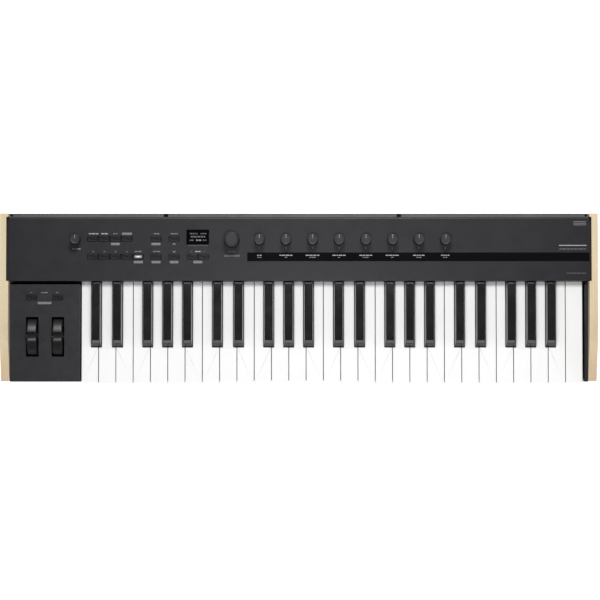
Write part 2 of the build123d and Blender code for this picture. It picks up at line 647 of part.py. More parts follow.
def control_wheel(name, x):
    with BuildPart() as w:
        with BuildSketch(Plane.YZ.offset(x - WHEEL_W / 2)):
            with Locations((WHEEL_Y, WHEEL_Z)):
                Circle(WHEEL_R)
                Circle(2.06, mode=Mode.SUBTRACT)
            # finger notch in the rim
            with Locations((WHEEL_Y, WHEEL_Z + WHEEL_R + 5.0)):
                Circle(8.6, mode=Mode.SUBTRACT)
        extrude(amount=WHEEL_W)
        rims = w.edges().filter_by(GeomType.CIRCLE).filter_by(lambda e: abs(e.radius - WHEEL_R) < 0.01)
        fillet(rims, 1.4)
        # dished faces round the hub
        for face_x in (x - WHEEL_W / 2, x + WHEEL_W / 2 - 3.0):
            with BuildSketch(Plane.YZ.offset(face_x)):
                with Locations((WHEEL_Y, WHEEL_Z)):
                    Circle(18.0)
                    Circle(6.0, mode=Mode.SUBTRACT)
            extrude(amount=3.0, mode=Mode.SUBTRACT)
    save(w, name)


control_wheel("pitch_wheel", WHEEL_X[0])
control_wheel("mod_wheel", WHEEL_X[1])

PLATES = (-373.6, -345.4, -317.6)
with BuildPart() as wheel_bracket:
    with BuildSketch(Plane.XY.offset(7.2)):
        with Locations(((PLATES[0] + PLATES[2] + 2.4) / 2, WHEEL_Y)):
            Rectangle(PLATES[2] - PLATES[0] + 2.4, 44.0)
    extrude(amount=2.0)
    for px in PLATES:
        with BuildSketch(Plane.YZ.offset(px)):
            with BuildLine():
                Polyline((WHEEL_Y - 22, 9.2), (WHEEL_Y - 8, 45.0), (WHEEL_Y + 8, 45.0), (WHEEL_Y + 22, 9.2), close=True)
            make_face()
        extrude(amount=2.4)
    # axle across the three plates
    with Locations(((PLATES[0] + PLATES[2] + 2.4) / 2, WHEEL_Y, WHEEL_Z)):
        Cylinder(2.0, PLATES[2] - PLATES[0] + 2.4, rotation=(0, 90, 0))
    # position sensors on the outer plates
    with Locations((PLATES[0] - 3.5, WHEEL_Y, WHEEL_Z), (PLATES[2] + 2.4 + 3.5, WHEEL_Y, WHEEL_Z)):
        Cylinder(8.0, 7.0, rotation=(0, 90, 0))
save(wheel_bracket, "wheel_bracket")

# ------------------------------------------------------------------ narrow block right of the keys
with BuildPart() as right_end_block:
    with BuildSketch(Plane.YZ.offset(388.0)):
        with BuildLine():
            Polyline((BLOCK_Y0 + 1.7, 7.3), (BLOCK_Y0, BLOCK_FRONT_Z), (BLOCK_Y1, BLOCK_REAR_Z), (BLOCK_Y1, 44.3), (BLOCK_Y0 + 2.6, 44.3), (BLOCK_Y0 + 2.6, 7.3), close=True)
        make_face()
    extrude(amount=4.2)
    fillet(right_end_block.edges().filter_by(Axis.X).filter_by_position(Axis.Z, BLOCK_FRONT_Z - 0.1, BLOCK_FRONT_Z + 0.1), 1.5)
save(right_end_block, "right_end_block")


# ------------------------------------------------------------------ wooden cheeks
def cheek(name, side):
    x_in, x_out = side * CHEEK_IN, side * HALF_W
    with BuildPart() as c:
        with BuildSketch(Plane.YZ.offset(min(x_in, x_out))):
            with BuildLine():
                l1 = Line((REAR_Y, 6.5), (REAR_Y, CHEEK_TOP))
                l2 = Line(l1 @ 1, (-34.0, CHEEK_TOP))
                l3 = Spline((-34.0, CHEEK_TOP), (-55.0, 68.3), (-80.0, 61.6), (-112.5, 52.4), tangents=((-1, 0), (-1, -0.26)))
                l4 = Line(l3 @ 1, (-111.0, 8.5))
                l5 = Line(l4 @ 1, (-107.0, 5.0))
                l6 = Line(l5 @ 1, (112.5, 5.0))
                l7 = Line(l6 @ 1, l1 @ 0)
            make_face()
        extrude(amount=HALF_W - CHEEK_IN)
        fillet(c.edges().filter_by(Axis.X).filter_by_position(Axis.Z, 52.3, 52.5), 3.0)
        fillet(c.edges().filter_by(Axis.X).filter_by_position(Axis.Y, REAR_Y - 0.1, REAR_Y + 0.1).filter_by_position(Axis.Z, CHEEK_TOP - 0.1, CHEEK_TOP + 0.1), 2.0)
        # rabbet that takes the edge of the top panel
        with BuildSketch(Plane.XY.offset(PANEL_TOP - PANEL_T - 0.1)):
            with Locations((side * (CHEEK_IN - 1 + RABBET_X) / 2, (PANEL_FRONT + PANEL_REAR) / 2)):
                Rectangle(RABBET_X - CHEEK_IN + 1, PANEL_REAR - PANEL_FRONT + 0.6)
        extrude(amount=14.0, mode=Mode.SUBTRACT)
    save(c, name)


cheek("left_cheek", -1)
cheek("right_cheek", 1)

# ------------------------------------------------------------------ rear rail
RAIL_Y = 112.1
RAIL_POCKETS = (-180.0, 135.5)
with BuildPart() as rear_rail:
    with BuildSketch(Plane.YZ.offset(-392.2)):
        with BuildLine():
            Polyline((109.6, 55.1), (109.6, 63.0), (REAR_Y - 0.6, 63.0), (REAR_Y, 62.4), (REAR_Y, 55.1), close=True)
        make_face()
    extrude(amount=784.4)
    # two accessory pockets and, at the ends, two round screw recesses
    with BuildSketch(Plane.XY.offset(56.5)):
        with Locations(*[(x, RAIL_Y) for x in RAIL_POCKETS]):
            Rectangle(6.0, 3.8)
    extrude(amount=10.0, mode=Mode.SUBTRACT)
    with BuildSketch(Plane.XY.offset(59.5)):
        with Locations((-388.9, RAIL_Y), (388.9, RAIL_Y)):
            Circle(1.8)
    extrude(amount=6.0, mode=Mode.SUBTRACT)
save(rear_rail, "rear_rail")

# ------------------------------------------------------------------ rear connectors
JACK_Z = 32.0
BIG_JACKS = (-375.0, -352.0)
SMALL_JACKS = (-332.5, -319.0)
USB_X = -306.0
with BuildPart() as rear_jacks:
    # carrier plate in the rear wall's window
    with BuildSketch(Plane.XZ.offset(-111.8)):
        with Locations(((JACK_X0 + JACK_X1) / 2, JACK_Z)):
            Rectangle(JACK_X1 - JACK_X0 - 0.4, 25.6)
    extrude(amount=2.0)
    # threaded noses
    with BuildSketch(Plane.XZ.offset(-113.2)):
        with Locations(*[(x, JACK_Z) for x in BIG_JACKS]):
            Circle(6.0)
        with Locations(*[(x, JACK_Z) for x in SMALL_JACKS]):
            Circle(3.9)
    extrude(amount=2.0)
    # sockets behind the plate
    with BuildSketch(Plane.XZ.offset(-109.8)):
        with Locations(*[(x, JACK_Z) for x in BIG_JACKS]):
            Rectangle(16.0, 18.0)
    extrude(amount=30.0)
    with BuildSketch(Plane.XZ.offset(-109.8)):
        with Locations(*[(x, JACK_Z) for x in SMALL_JACKS]):
            Rectangle(9.0, 10.0)
        with Locations((USB_X, JACK_Z)):
            Rectangle(11.0, 6.0)
    extrude(amount=15.0)
    # bores
    with BuildSketch(Plane.XZ.offset(-113.2)):
        with Locations(*[(x, JACK_Z) for x in BIG_JACKS]):
            Circle(3.25)
    extrude(amount=31.0, mode=Mode.SUBTRACT)
    with BuildSketch(Plane.XZ.offset(-113.2)):
        with Locations(*[(x, JACK_Z) for x in SMALL_JACKS]):
            Circle(1.82)
    extrude(amount=16.0, mode=Mode.SUBTRACT)
    with BuildSketch(Plane.XZ.offset(-113.2)):
        with Locations((USB_X, JACK_Z)):
            SlotOverall(9.0, 3.3)
    extrude(amount=12.0, mode=Mode.SUBTRACT)
save(rear_jacks, "rear_jacks")

print("files", len(os.listdir("parts")))
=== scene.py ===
import math
import random

import bpy
import bmesh
from mathutils import Matrix, Vector


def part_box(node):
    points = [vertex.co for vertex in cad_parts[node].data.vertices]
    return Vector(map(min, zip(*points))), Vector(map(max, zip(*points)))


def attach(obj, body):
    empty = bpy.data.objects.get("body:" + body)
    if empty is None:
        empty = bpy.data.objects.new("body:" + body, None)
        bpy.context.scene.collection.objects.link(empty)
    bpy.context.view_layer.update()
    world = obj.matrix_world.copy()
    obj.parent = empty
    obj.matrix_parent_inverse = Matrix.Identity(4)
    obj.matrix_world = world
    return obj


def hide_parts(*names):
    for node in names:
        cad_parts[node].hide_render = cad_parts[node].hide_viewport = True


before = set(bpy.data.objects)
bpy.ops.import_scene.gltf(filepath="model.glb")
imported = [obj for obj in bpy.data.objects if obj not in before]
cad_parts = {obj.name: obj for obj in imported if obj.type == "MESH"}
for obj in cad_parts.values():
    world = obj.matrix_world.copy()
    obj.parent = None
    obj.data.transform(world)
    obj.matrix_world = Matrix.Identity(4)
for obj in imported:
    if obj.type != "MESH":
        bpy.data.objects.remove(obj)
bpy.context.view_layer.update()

random.seed(7)
scene = bpy.context.scene
MM = 0.001

# ------------------------------------------------------------------ camera
TILT = math.radians(88.0)
DIST = 2.8
target = Vector((0.00154, -0.0018, 0.048))
cam_data = bpy.data.cameras.new("camera")
cam_data.sensor_width = 36.0
cam_data.lens = 36.0 * (DIST / 0.00136) / 600.0
cam_data.clip_start, cam_data.clip_end = 0.05, 60.0
cam = bpy.data.objects.new("camera", cam_data)
scene.collection.objects.link(cam)
back = Vector((0.0, -math.cos(TILT), math.sin(TILT)))
cam.location = target + back * DIST
cam.rotation_euler = (math.pi / 2 - TILT, 0.0, 0.0)
scene.camera = cam
scene.view_settings.view_transform = "Standard"
scene.view_settings.look = "None"


# ------------------------------------------------------------------ materials
def srgb(r, g, b):
    """sRGB 0-255 to linear."""
    out = []
    for c in (r, g, b):
        c /= 255.0
        out.append(c / 12.92 if c <= 0.04045 else ((c + 0.055) / 1.055) ** 2.4)
    return out


class Nodes:
    """A small helper for writing node trees."""

    def __init__(self, name):
        self.mat = bpy.data.materials.new(name)
        self.mat.use_nodes = True
        self.tree = self.mat.node_tree
        self.tree.nodes.clear()
        self.out = self.add("ShaderNodeOutputMaterial")
        self.bsdf = self.add("ShaderNodeBsdfPrincipled")
        self.link(self.bsdf, "BSDF", self.out, "Surface")
        self.coord = self.add("ShaderNodeTexCoord")

    def add(self, kind, **values):
        node = self.tree.nodes.new(kind)
        for k, v in values.items():
            setattr(node, k, v)
        return node

    def link(self, a, a_out, b, b_in):
        self.tree.links.new(a.outputs[a_out], b.inputs[b_in])

    def noise(self, scale, detail=2.0, rough=0.5, stretch=None, distortion=0.0):
        n = self.add("ShaderNodeTexNoise")
        n.inputs["Scale"].default_value = scale
        n.inputs["Detail"].default_value = detail
        n.inputs["Roughness"].default_value = rough
        n.inputs["Distortion"].default_value = distortion
        if stretch:
            m = self.add("ShaderNodeMapping")
            m.inputs["Scale"].default_value = stretch
            self.link(self.coord, "Object", m, "Vector")
            self.link(m, "Vector", n, "Vector")
        else:
            self.link(self.coord, "Object", n, "Vector")
        return n

    def spread(self, source, socket, lo, hi, from_lo=0.3, from_hi=0.7):
        m = self.add("ShaderNodeMapRange")
        m.inputs["From Min"].default_value = from_lo
        m.inputs["From Max"].default_value = from_hi
        m.inputs["To Min"].default_value = lo
        m.inputs["To Max"].default_value = hi
        self.link(source, socket, m, "Value")
        return m

    def mix(self, factor, factor_socket, a, b, blend="MIX"):
        m = self.add("ShaderNodeMix", data_type="RGBA", blend_type=blend)
        if factor is None:
            m.inputs[0].default_value = factor_socket
        else:
            self.link(factor, factor_socket, m, 0)
        for value, index in ((a, 6), (b, 7)):
            if isinstance(value, (tuple, list)):
                m.inputs[index].default_value = (*value[:3], 1.0)
            else:
                self.tree.links.new(value, m.inputs[index])
        return m


def plastic(name, colour, rough=0.4, spec=0.5, var=0.08, var_scale=14.0, grain=2600.0, bump=0.15,
            depth=0.00004, rough_var=0.07, metallic=0.0, wear=0.0, wear_colour=None, coat=0.0, speck=0.0):
    """Moulded or painted surface: slight mottling, fine grain, uneven gloss and paler worn edges."""
    t = Nodes(name)
    c = Vector(colour)
    broad = t.noise(var_scale, 3.0, 0.55)
    k = t.spread(broad, "Fac", 0.0, 1.0)
    m = t.mix(k, "Result", list(c * (1 - var)), list(c * (1 + var)))
    colour_out = m.outputs[2]
    if speck:
        fine = t.noise(grain * 0.45, 2.0, 0.6)
        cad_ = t.spread(fine, "Fac", 0.0, speck, 0.45, 0.75)
        m2 = t.mix(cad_, "Result", colour_out, list(Vector(c) * 1.9 + Vector((0.01, 0.01, 0.01))))
        colour_out = m2.outputs[2]
    if wear:
        geo = t.add("ShaderNodeNewGeometry")
        edge = t.spread(geo, "Pointiness", 0.0, wear, 0.53, 0.62)
        scuff = t.noise(90.0, 4.0, 0.7)
        scuff_k = t.spread(scuff, "Fac", 0.2, 1.0, 0.35, 0.65)
        mult = t.add("ShaderNodeMath", operation="MULTIPLY")
        t.link(edge, "Result", mult, 0)
        t.link(scuff_k, "Result", mult, 1)
        m3 = t.mix(mult, "Value", colour_out, list(wear_colour or Vector(c) * 1.6 + Vector((0.02, 0.02, 0.02))))
        colour_out = m3.outputs[2]
    t.tree.links.new(colour_out, t.bsdf.inputs["Base Color"])
    smear = t.noise(38.0, 3.0, 0.6)
    r = t.spread(smear, "Fac", max(0.03, rough - rough_var), min(1.0, rough + rough_var))
    t.link(r, "Result", t.bsdf, "Roughness")
    g = t.noise(grain, 2.0, 0.5)
    b = t.add("ShaderNodeBump")
    b.inputs["Strength"].default_value = bump
    b.inputs["Distance"].default_value = depth
    t.link(g, "Fac", b, "Height")
    t.link(b, "Normal", t.bsdf, "Normal")
    t.bsdf.inputs["Metallic"].default_value = metallic
    t.bsdf.inputs["Specular IOR Level"].default_value = spec
    t.bsdf.inputs["Coat Weight"].default_value = coat
    t.bsdf.inputs["Coat Roughness"].default_value = 0.08
    return t.mat


def glow(name, colour, strength, base=(0.6, 0.6, 0.6), fade=None):
    """Lit translucent piece with an uneven glow; fade darkens it toward its ends."""
    t = Nodes(name)
    n = t.noise(420.0, 2.0, 0.5)
    k = t.spread(n, "Fac", 0.0, 1.0)
    m = t.mix(k, "Result", [x * 0.86 for x in colour], list(colour))
    t.tree.links.new(m.outputs[2], t.bsdf.inputs["Emission Color"])
    m2 = t.mix(k, "Result", [x * 0.9 for x in base], list(base))
    t.tree.links.new(m2.outputs[2], t.bsdf.inputs["Base Color"])
    t.bsdf.inputs["Emission Strength"].default_value = strength
    if fade is not None:
        away = t.add("ShaderNodeVectorMath", operation="DISTANCE")
        away.inputs[1].default_value = (0.5, 0.5, 0.5)
        t.link(t.coord, "Generated", away, 0)
        level = t.spread(away, "Value", strength, strength * fade, 0.24, 0.64)
        t.link(level, "Result", t.bsdf, "Emission Strength")
    r = t.spread(n, "Fac", 0.28, 0.4)
    t.link(r, "Result", t.bsdf, "Roughness")
    return t.mat


def wood(name, pale, mid, dark, seed):
    """Pale straight-grained hardwood, grain along Y, with fine open pores."""
    t = Nodes(name)
    mapping = t.add("ShaderNodeMapping")
    mapping.inputs["Scale"].default_value = (1.0, 0.055, 1.0)
    mapping.inputs["Location"].default_value = (seed, seed * 0.7, seed * 0.3)
    mapping.inputs["Rotation"].default_value = (0.012, 0.0, 0.01)
    t.link(t.coord, "Object", mapping, "Vector")
    # slow figure
    figure = t.add("ShaderNodeTexNoise")
    figure.inputs["Scale"].default_value = 150.0
    figure.inputs["Detail"].default_value = 4.0
    figure.inputs["Roughness"].default_value = 0.6
    figure.inputs["Distortion"].default_value = 0.6
    t.link(mapping, "Vector", figure, "Vector")
    k = t.spread(figure, "Fac", 0.0, 1.0, 0.32, 0.68)
    base = t.mix(k, "Result", list(mid), list(pale))
    # growth rings
    rings = t.add("ShaderNodeTexWave", wave_type="BANDS", bands_direction="X", wave_profile="SAW")
    rings.inputs["Scale"].default_value = 95.0
    rings.inputs["Distortion"].default_value = 5.0
    rings.inputs["Detail"].default_value = 3.0
    rings.inputs["Detail Scale"].default_value = 1.4
    t.link(mapping, "Vector", rings, "Vector")
    rk = t.spread(rings, "Fac", 0.0, 0.42, 0.55, 1.0)
    ringed = t.mix(rk, "Result", base.outputs[2], list(dark))
    # pores: short dark dashes along the grain
    pore_map = t.add("ShaderNodeMapping")
    pore_map.inputs["Scale"].default_value = (1.0, 0.09, 1.0)
    t.link(t.coord, "Object", pore_map, "Vector")
    pores = t.add("ShaderNodeTexNoise")
    pores.inputs["Scale"].default_value = 1900.0
    pores.inputs["Detail"].default_value = 2.0
    t.link(pore_map, "Vector", pores, "Vector")
    pk = t.spread(pores, "Fac", 0.0, 0.5, 0.60, 0.74)
    pored = t.mix(pk, "Result", ringed.outputs[2], [x * 0.7 for x in dark])
    # slightly darker, handled edges
    geo = t.add("ShaderNodeNewGeometry")
    edge = t.spread(geo, "Pointiness", 0.0, 0.35, 0.52, 0.6)
    done = t.mix(edge, "Result", pored.outputs[2], [min(1, x * 1.08) for x in pale])
    # a little darker and redder toward the front end
    split = t.add("ShaderNodeSeparateXYZ")
    t.link(t.coord, "Object", split, 0)
    front = t.spread(split, "Y", 0.0, 0.52, -0.02, -0.115)
    done = t.mix(front, "Result", done.outputs[2], srgb(178, 150, 122))
    t.tree.links.new(done.outputs[2], t.bsdf.inputs["Base Color"])
    r = t.spread(figure, "Fac", 0.42, 0.58)
    t.link(r, "Result", t.bsdf, "Roughness")
    bump = t.add("ShaderNodeBump")
    bump.inputs["Strength"].default_value = 0.35
    bump.inputs["Distance"].default_value = 0.00008
    height = t.add("ShaderNodeMath", operation="SUBTRACT")
    t.link(rings, "Fac", height, 0)
    t.link(pk, "Result", height, 1)
    t.link(height, "Value", bump, "Height")
    t.link(bump, "Normal", t.bsdf, "Normal")
    t.bsdf.inputs["Specular IOR Level"].default_value = 0.35
    return t.mat


def paint_shade(mat, xs, ys, zs, colour, soft=0.00025):
    """Paint shade into the part of a material that lies inside a box of the CAD frame, such as a slot's walls."""
    tree = mat.node_tree
    bsdf = next(n for n in tree.nodes if n.type == "BSDF_PRINCIPLED")
    coord = next(n for n in tree.nodes if n.type == "TEX_COORD")
    split = tree.nodes.new("ShaderNodeSeparateXYZ")
    tree.links.new(coord.outputs["Object"], split.inputs[0])
    factor = None
    for axis, (lo, hi) in enumerate((xs, ys, zs)):
        for edge, sign in ((lo, 1), (hi, -1)):
            ramp = tree.nodes.new("ShaderNodeMapRange")
            ramp.interpolation_type = "SMOOTHSTEP"
            ramp.inputs["From Min"].default_value = edge - sign * soft
            ramp.inputs["From Max"].default_value = edge + sign * soft
            tree.links.new(split.outputs[axis], ramp.inputs["Value"])
            if factor is None:
                factor = ramp.outputs["Result"]
            else:
                times = tree.nodes.new("ShaderNodeMath")
                times.operation = "MULTIPLY"
                tree.links.new(factor, times.inputs[0])
                tree.links.new(ramp.outputs["Result"], times.inputs[1])
                factor = times.outputs[0]
    mix = tree.nodes.new("ShaderNodeMix")
    mix.data_type = "RGBA"
    old = bsdf.inputs["Base Color"].links[0].from_socket
    tree.links.new(factor, mix.inputs[0])
    tree.links.new(old, mix.inputs[6])
    mix.inputs[7].default_value = (*colour[:3], 1.0)
    tree.links.new(mix.outputs[2], bsdf.inputs["Base Color"])
    return mat


M = {
    # painted shade: every white key face below 46.8 mm and behind the front face is painted dark grey, standing in
    # for the shade in the gaps between keys
    "white_key": paint_shade(plastic("white_key_plastic", (0.80, 0.80, 0.797), 0.22, 0.4, var=0.012, var_scale=9, grain=900, bump=0.04, rough_var=0.05),
                       (-1.0, 1.0), (-0.1142, 1.0), (-1.0, 0.0468), (0.26, 0.26, 0.265)),
    "black_key": plastic("black_key_plastic", (0.0055, 0.0055, 0.0062), 0.2, 0.42, var=0.15, var_scale=25, grain=1800, bump=0.10, rough_var=0.06, wear=0.35),
    # painted shadow: the panel's outer 1.1 mm on each side is painted dark brown, standing in for the shaded gap
    # beside the cheeks
    "panel": paint_shade(paint_shade(plastic("panel_paint", (0.0098, 0.0100, 0.0126), 0.38, 0.36, var=0.05, var_scale=7, grain=2300, bump=0.28, rough_var=0.03, speck=0.10, wear=0.12),
                         (0.3926, 1.0), (0.0232, 0.1108), (-1.0, 1.0), srgb(30, 22, 20)), (-1.0, -0.3926), (0.0232, 0.1108), (-1.0, 1.0), srgb(30, 22, 20)),
    "block": plastic("wheel_block_plastic", (0.0112, 0.0116, 0.0142), 0.38, 0.36, var=0.05, var_scale=9, grain=2100, bump=0.32, rough_var=0.05, speck=0.10, wear=0.3),
    "case": plastic("case_plastic", (0.016, 0.016, 0.017), 0.6, 0.4, var=0.08, grain=1500, bump=0.4, rough_var=0.05, wear=0.3),
    "knob": plastic("knob_plastic", (0.0060, 0.0060, 0.0070), 0.42, 0.34, var=0.07, var_scale=60, grain=3200, bump=0.2, wear=0.2),
    "knob_cap": plastic("knob_cap_plastic", (0.0150, 0.0152, 0.0172), 0.46, 0.36, var=0.05, var_scale=70, grain=3600, bump=0.25, wear=0.2),
    "encoder_cap": plastic("encoder_cap_plastic", (0.0110, 0.0112, 0.0130), 0.40, 0.34, var=0.05, var_scale=60, grain=3600, bump=0.12, wear=0.35),
    "button": plastic("button_plastic", (0.0062, 0.0065, 0.0078), 0.42, 0.24, var=0.05, var_scale=40, grain=2800, bump=0.12, rough_var=0.03, wear=0.12),
    "wheel": plastic("wheel_rubber", (0.0100, 0.0104, 0.0116), 0.42, 0.44, var=0.08, var_scale=70, grain=2600, bump=0.3, wear=0.25),
    # painted shade: the rail's pocket and recess walls, between y 109.6 and 114.6 mm and below 62.6 mm, are painted
    # near black, standing in for the shade inside them
    "rail": paint_shade(plastic("rail_metal", (0.056, 0.059, 0.059), 0.42, 0.4, var=0.07, var_scale=22, grain=1200, bump=0.12, metallic=0.35, wear=0.3),
                  (-1.0, 1.0), (0.1096, 0.1146), (0.0, 0.0626), (0.0012, 0.0012, 0.0014)),
    "strip": plastic("gloss_strip", (0.0012, 0.0013, 0.0019), 0.13, 0.22, var=0.2, var_scale=20, grain=700, bump=0.015, rough_var=0.03),
    "glass": plastic("display_glass", (0.0010, 0.0011, 0.0016), 0.07, 0.10, var=0.2, var_scale=60, grain=500, bump=0.01, rough_var=0.02),
    "print": plastic("print_white", (0.27, 0.27, 0.28), 0.6, 0.3, var=0.12, var_scale=400, grain=4000, bump=0.1, rough_var=0.05),
    "print_grey": plastic("print_grey", (0.145, 0.145, 0.15), 0.6, 0.3, var=0.12, var_scale=300, grain=4000, bump=0.1, rough_var=0.05),
    "print_dim": plastic("print_dim", (0.090, 0.090, 0.094), 0.6, 0.3, var=0.12, var_scale=300, grain=4000, bump=0.1, rough_var=0.05),
    "pointer": plastic("pointer_paint", (0.17, 0.17, 0.17), 0.5, 0.4, var=0.08, var_scale=200, grain=4000, bump=0.1, rough_var=0.05),
    "rubber": plastic("foot_rubber", (0.012, 0.012, 0.012), 0.75, 0.3, var=0.2, var_scale=60, grain=1600, bump=0.5, rough_var=0.05),
    "steel": plastic("zinc_steel", (0.42, 0.42, 0.43), 0.35, 0.5, var=0.08, var_scale=40, grain=900, bump=0.08, metallic=1.0, wear=0.2),
    "bright": plastic("bright_steel", (0.58, 0.58, 0.59), 0.2, 0.5, var=0.05, var_scale=60, grain=1500, bump=0.05, metallic=1.0, rough_var=0.06),
    "screw": plastic("black_screw_steel", (0.05, 0.05, 0.052), 0.35, 0.5, var=0.1, var_scale=120, grain=1800, bump=0.1, metallic=0.8, wear=0.6, wear_colour=(0.35, 0.35, 0.36)),
    "chassis": plastic("chassis_plastic", (0.12, 0.12, 0.125), 0.5, 0.5, var=0.06, grain=1200, bump=0.3, wear=0.2),
    "felt": plastic("key_felt", (0.28, 0.035, 0.04), 0.95, 0.15, var=0.25, var_scale=220, grain=2600, bump=1.0, depth=0.0003, rough_var=0.03),
    "board": plastic("circuit_board", (0.012, 0.06, 0.025), 0.35, 0.5, var=0.15, var_scale=120, grain=900, bump=0.15),
    "jack": plastic("jack_plastic", (0.015, 0.015, 0.016), 0.45, 0.45, var=0.1, grain=1800, bump=0.3, wear=0.4),
    # painted shade: on both cheeks the rabbet faces beside the panel, below 70.9 mm, are painted dark brown, standing
    # in for the shade in the gap at the panel's edges
    "wood_l": paint_shade(wood("cheek_wood_left", srgb(206, 193, 163), srgb(196, 180, 148), srgb(180, 159, 124), 3.1),
                    (-0.3955, 0.0), (0.0232, 0.1108), (0.0, 0.0709), srgb(46, 34, 28)),
    "wood_r": paint_shade(wood("cheek_wood_right", srgb(205, 190, 160), srgb(195, 178, 146), srgb(180, 159, 123), 9.7),
                    (0.0, 0.3955), (0.0232, 0.1108), (0.0, 0.0709), srgb(46, 34, 28)),
    "glow": glow("lens_glow", (0.95, 0.97, 1.0), 2.2, (0.12, 0.12, 0.12), fade=0.05),
    "pixels": glow("display_pixels", (0.80, 0.86, 0.88), 0.07, (0.05, 0.05, 0.05)),
    "pixels_bright": glow("display_pixels_bright", (0.92, 0.96, 0.97), 0.20, (0.05, 0.05, 0.05)),
}


# ------------------------------------------------------------------ mesh building
class Shell:
    """Collects vertices (millimetres) and faces, then makes one object."""

    def __init__(self):
        self.v, self.f, self.m = [], [], []

    def ring(self, pts):
        start = len(self.v)
        self.v += [tuple(p) for p in pts]
        return list(range(start, len(self.v)))

    def bridge(self, a, b, mat=0, closed=True):
        n = len(a)
        for i in range(n if closed else n - 1):
            j = (i + 1) % n
            self.f.append((a[i], a[j], b[j], b[i]))
            self.m.append(mat)

    def cap(self, ring, mat=0, flip=False):
        self.f.append(tuple(reversed(ring)) if flip else tuple(ring))
        self.m.append(mat)

    def fan(self, ring, tip, mat=0, flip=False):
        n = len(ring)
        for i in range(n):
            a, b = ring[i], ring[(i + 1) % n]
            self.f.append((b, a, tip) if flip else (a, b, tip))
            self.m.append(mat)

    def build(self, name, mats, body, slot=None, replaces=(), angle=32, weighted=True, loc=None):
        mesh = bpy.data.meshes.new(name)
        mesh.from_pydata([(x * MM, y * MM, z * MM) for x, y, z in self.v], [], self.f)
        for m in mats:
            mesh.materials.append(M[m])
        mesh.polygons.foreach_set("material_index", self.m)
        mesh.update()
        bm = bmesh.new()
        bm.from_mesh(mesh)
        bmesh.ops.remove_doubles(bm, verts=bm.verts, dist=1e-7)
        bmesh.ops.dissolve_degenerate(bm, edges=bm.edges, dist=1e-8)
        bmesh.ops.recalc_face_normals(bm, faces=bm.faces)
        for f in bm.faces:
            f.smooth = True
        bm.to_mesh(mesh)
        bm.free()
        mesh.set_sharp_from_angle(angle=math.radians(angle))
        o = bpy.data.objects.new(name, mesh)
        scene.collection.objects.link(o)
        if weighted:
            w = o.modifiers.new("weighted_normals", "WEIGHTED_NORMAL")
            w.keep_sharp = True
            w.weight = 60
        if loc:
            o.location = loc
        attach(o, body)
        for n in replaces:
            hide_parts(n)
        return o


def inset(pts, d):
    """Counter-clockwise polygon moved inward by d with mitred corners."""
    out, n = [], len(pts)
    for i in range(n):
        ax, ay = pts[i - 1]
        px, py = pts[i]
        bx, by = pts[(i + 1) % n]
        ux, uy = px - ax, py - ay
        vx, vy = bx - px, by - py
        lu, lv = math.hypot(ux, uy) or 1.0, math.hypot(vx, vy) or 1.0
        n0 = (-uy / lu, ux / lu)
        n1 = (-vy / lv, vx / lv)
        k = 1 + n0[0] * n1[0] + n0[1] * n1[1]
        k = d / max(k, 0.2)
        out.append((px + (n0[0] + n1[0]) * k, py + (n0[1] + n1[1]) * k))
    return out


def rounded(pts, radii, seg=4):
    """Polygon with rounded corners; radii is a number or one for each corner."""
    if not isinstance(radii, (list, tuple)):
        radii = [radii] * len(pts)
    out, n = [], len(pts)
    for i in range(n):
        r = radii[i]
        p = Vector(pts[i])
        if r <= 0:
            out.append((p.x, p.y))
            continue
        u = (Vector(pts[i - 1]) - p).normalized()
        v = (Vector(pts[(i + 1) % n]) - p).normalized()
        half = math.acos(max(-1, min(1, u.dot(v)))) / 2
        t = r / math.tan(half)
        c = p + (u + v).normalized() * (r / math.sin(half))
        a, b = p + u * t - c, p + v * t - c
        sweep = math.pi - 2 * half
        for k in range(seg + 1):
            s = k / seg
            q = c + (a * math.sin((1 - s) * sweep) + b * math.sin(s * sweep)) / math.sin(sweep)
            out.append((q.x, q.y))
    return out


def rect(x0, y0, x1, y1):
    return [(x0, y0), (x1, y0), (x1, y1), (x0, y1)]


def prism(s, outline, z0, z1, bevel=0.3, seg=3, mat=0, base_bevel=0.0, plane=None, top_mat=None):
    """Closed upright solid on an outline, with rounded top (and optional bottom) edges."""
    place = plane or (lambda x, y, z: (x, y, z))
    rings = []
    if base_bevel:
        for k in range(seg):
            a = math.pi / 2 * k / seg
            rings.append((base_bevel * (1 - math.sin(a)), z0 + base_bevel * (1 - math.cos(a))))
        rings.append((0.0, z0 + base_bevel))
    else:
        rings.append((0.0, z0))
    if bevel:
        for k in range(seg + 1):
            a = math.pi / 2 * k / seg
            rings.append((bevel * (1 - math.cos(a)), z1 - bevel + bevel * math.sin(a)))
    else:
        rings.append((0.0, z1))
    made = [s.ring([place(x, y, z) for x, y in inset(outline, d)]) for d, z in rings]
    s.cap(made[0], mat, flip=True)
    for a, b in zip(made, made[1:]):
        s.bridge(a, b, mat)
    s.cap(made[-1], mat if top_mat is None else top_mat)
    return made


def lathe(s, profile, cx, cy, seg=64, mats=None, shape=None):
    """Closed turned solid from (radius, z) points; first and last on the axis. shape(angle, r, z) may change r."""
    prev = None
    for i, (r, z) in enumerate(profile):
        m = mats[i - 1] if mats and i else 0
        if r < 1e-6:
            cur = len(s.v)
            s.v.append((cx, cy, z))
            if prev is not None:
                s.fan(prev, cur, m)
        else:
            pts = []
            for k in range(seg):
                a = 2 * math.pi * k / seg
                rr = shape(a, r, z) if shape else r
                pts.append((cx + rr * math.cos(a), cy + rr * math.sin(a), z))
            cur = s.ring(pts)
            if isinstance(prev, int):
                s.fan(cur, prev, m, flip=True)
            elif prev is not None:
                s.bridge(prev, cur, m)
        prev = cur


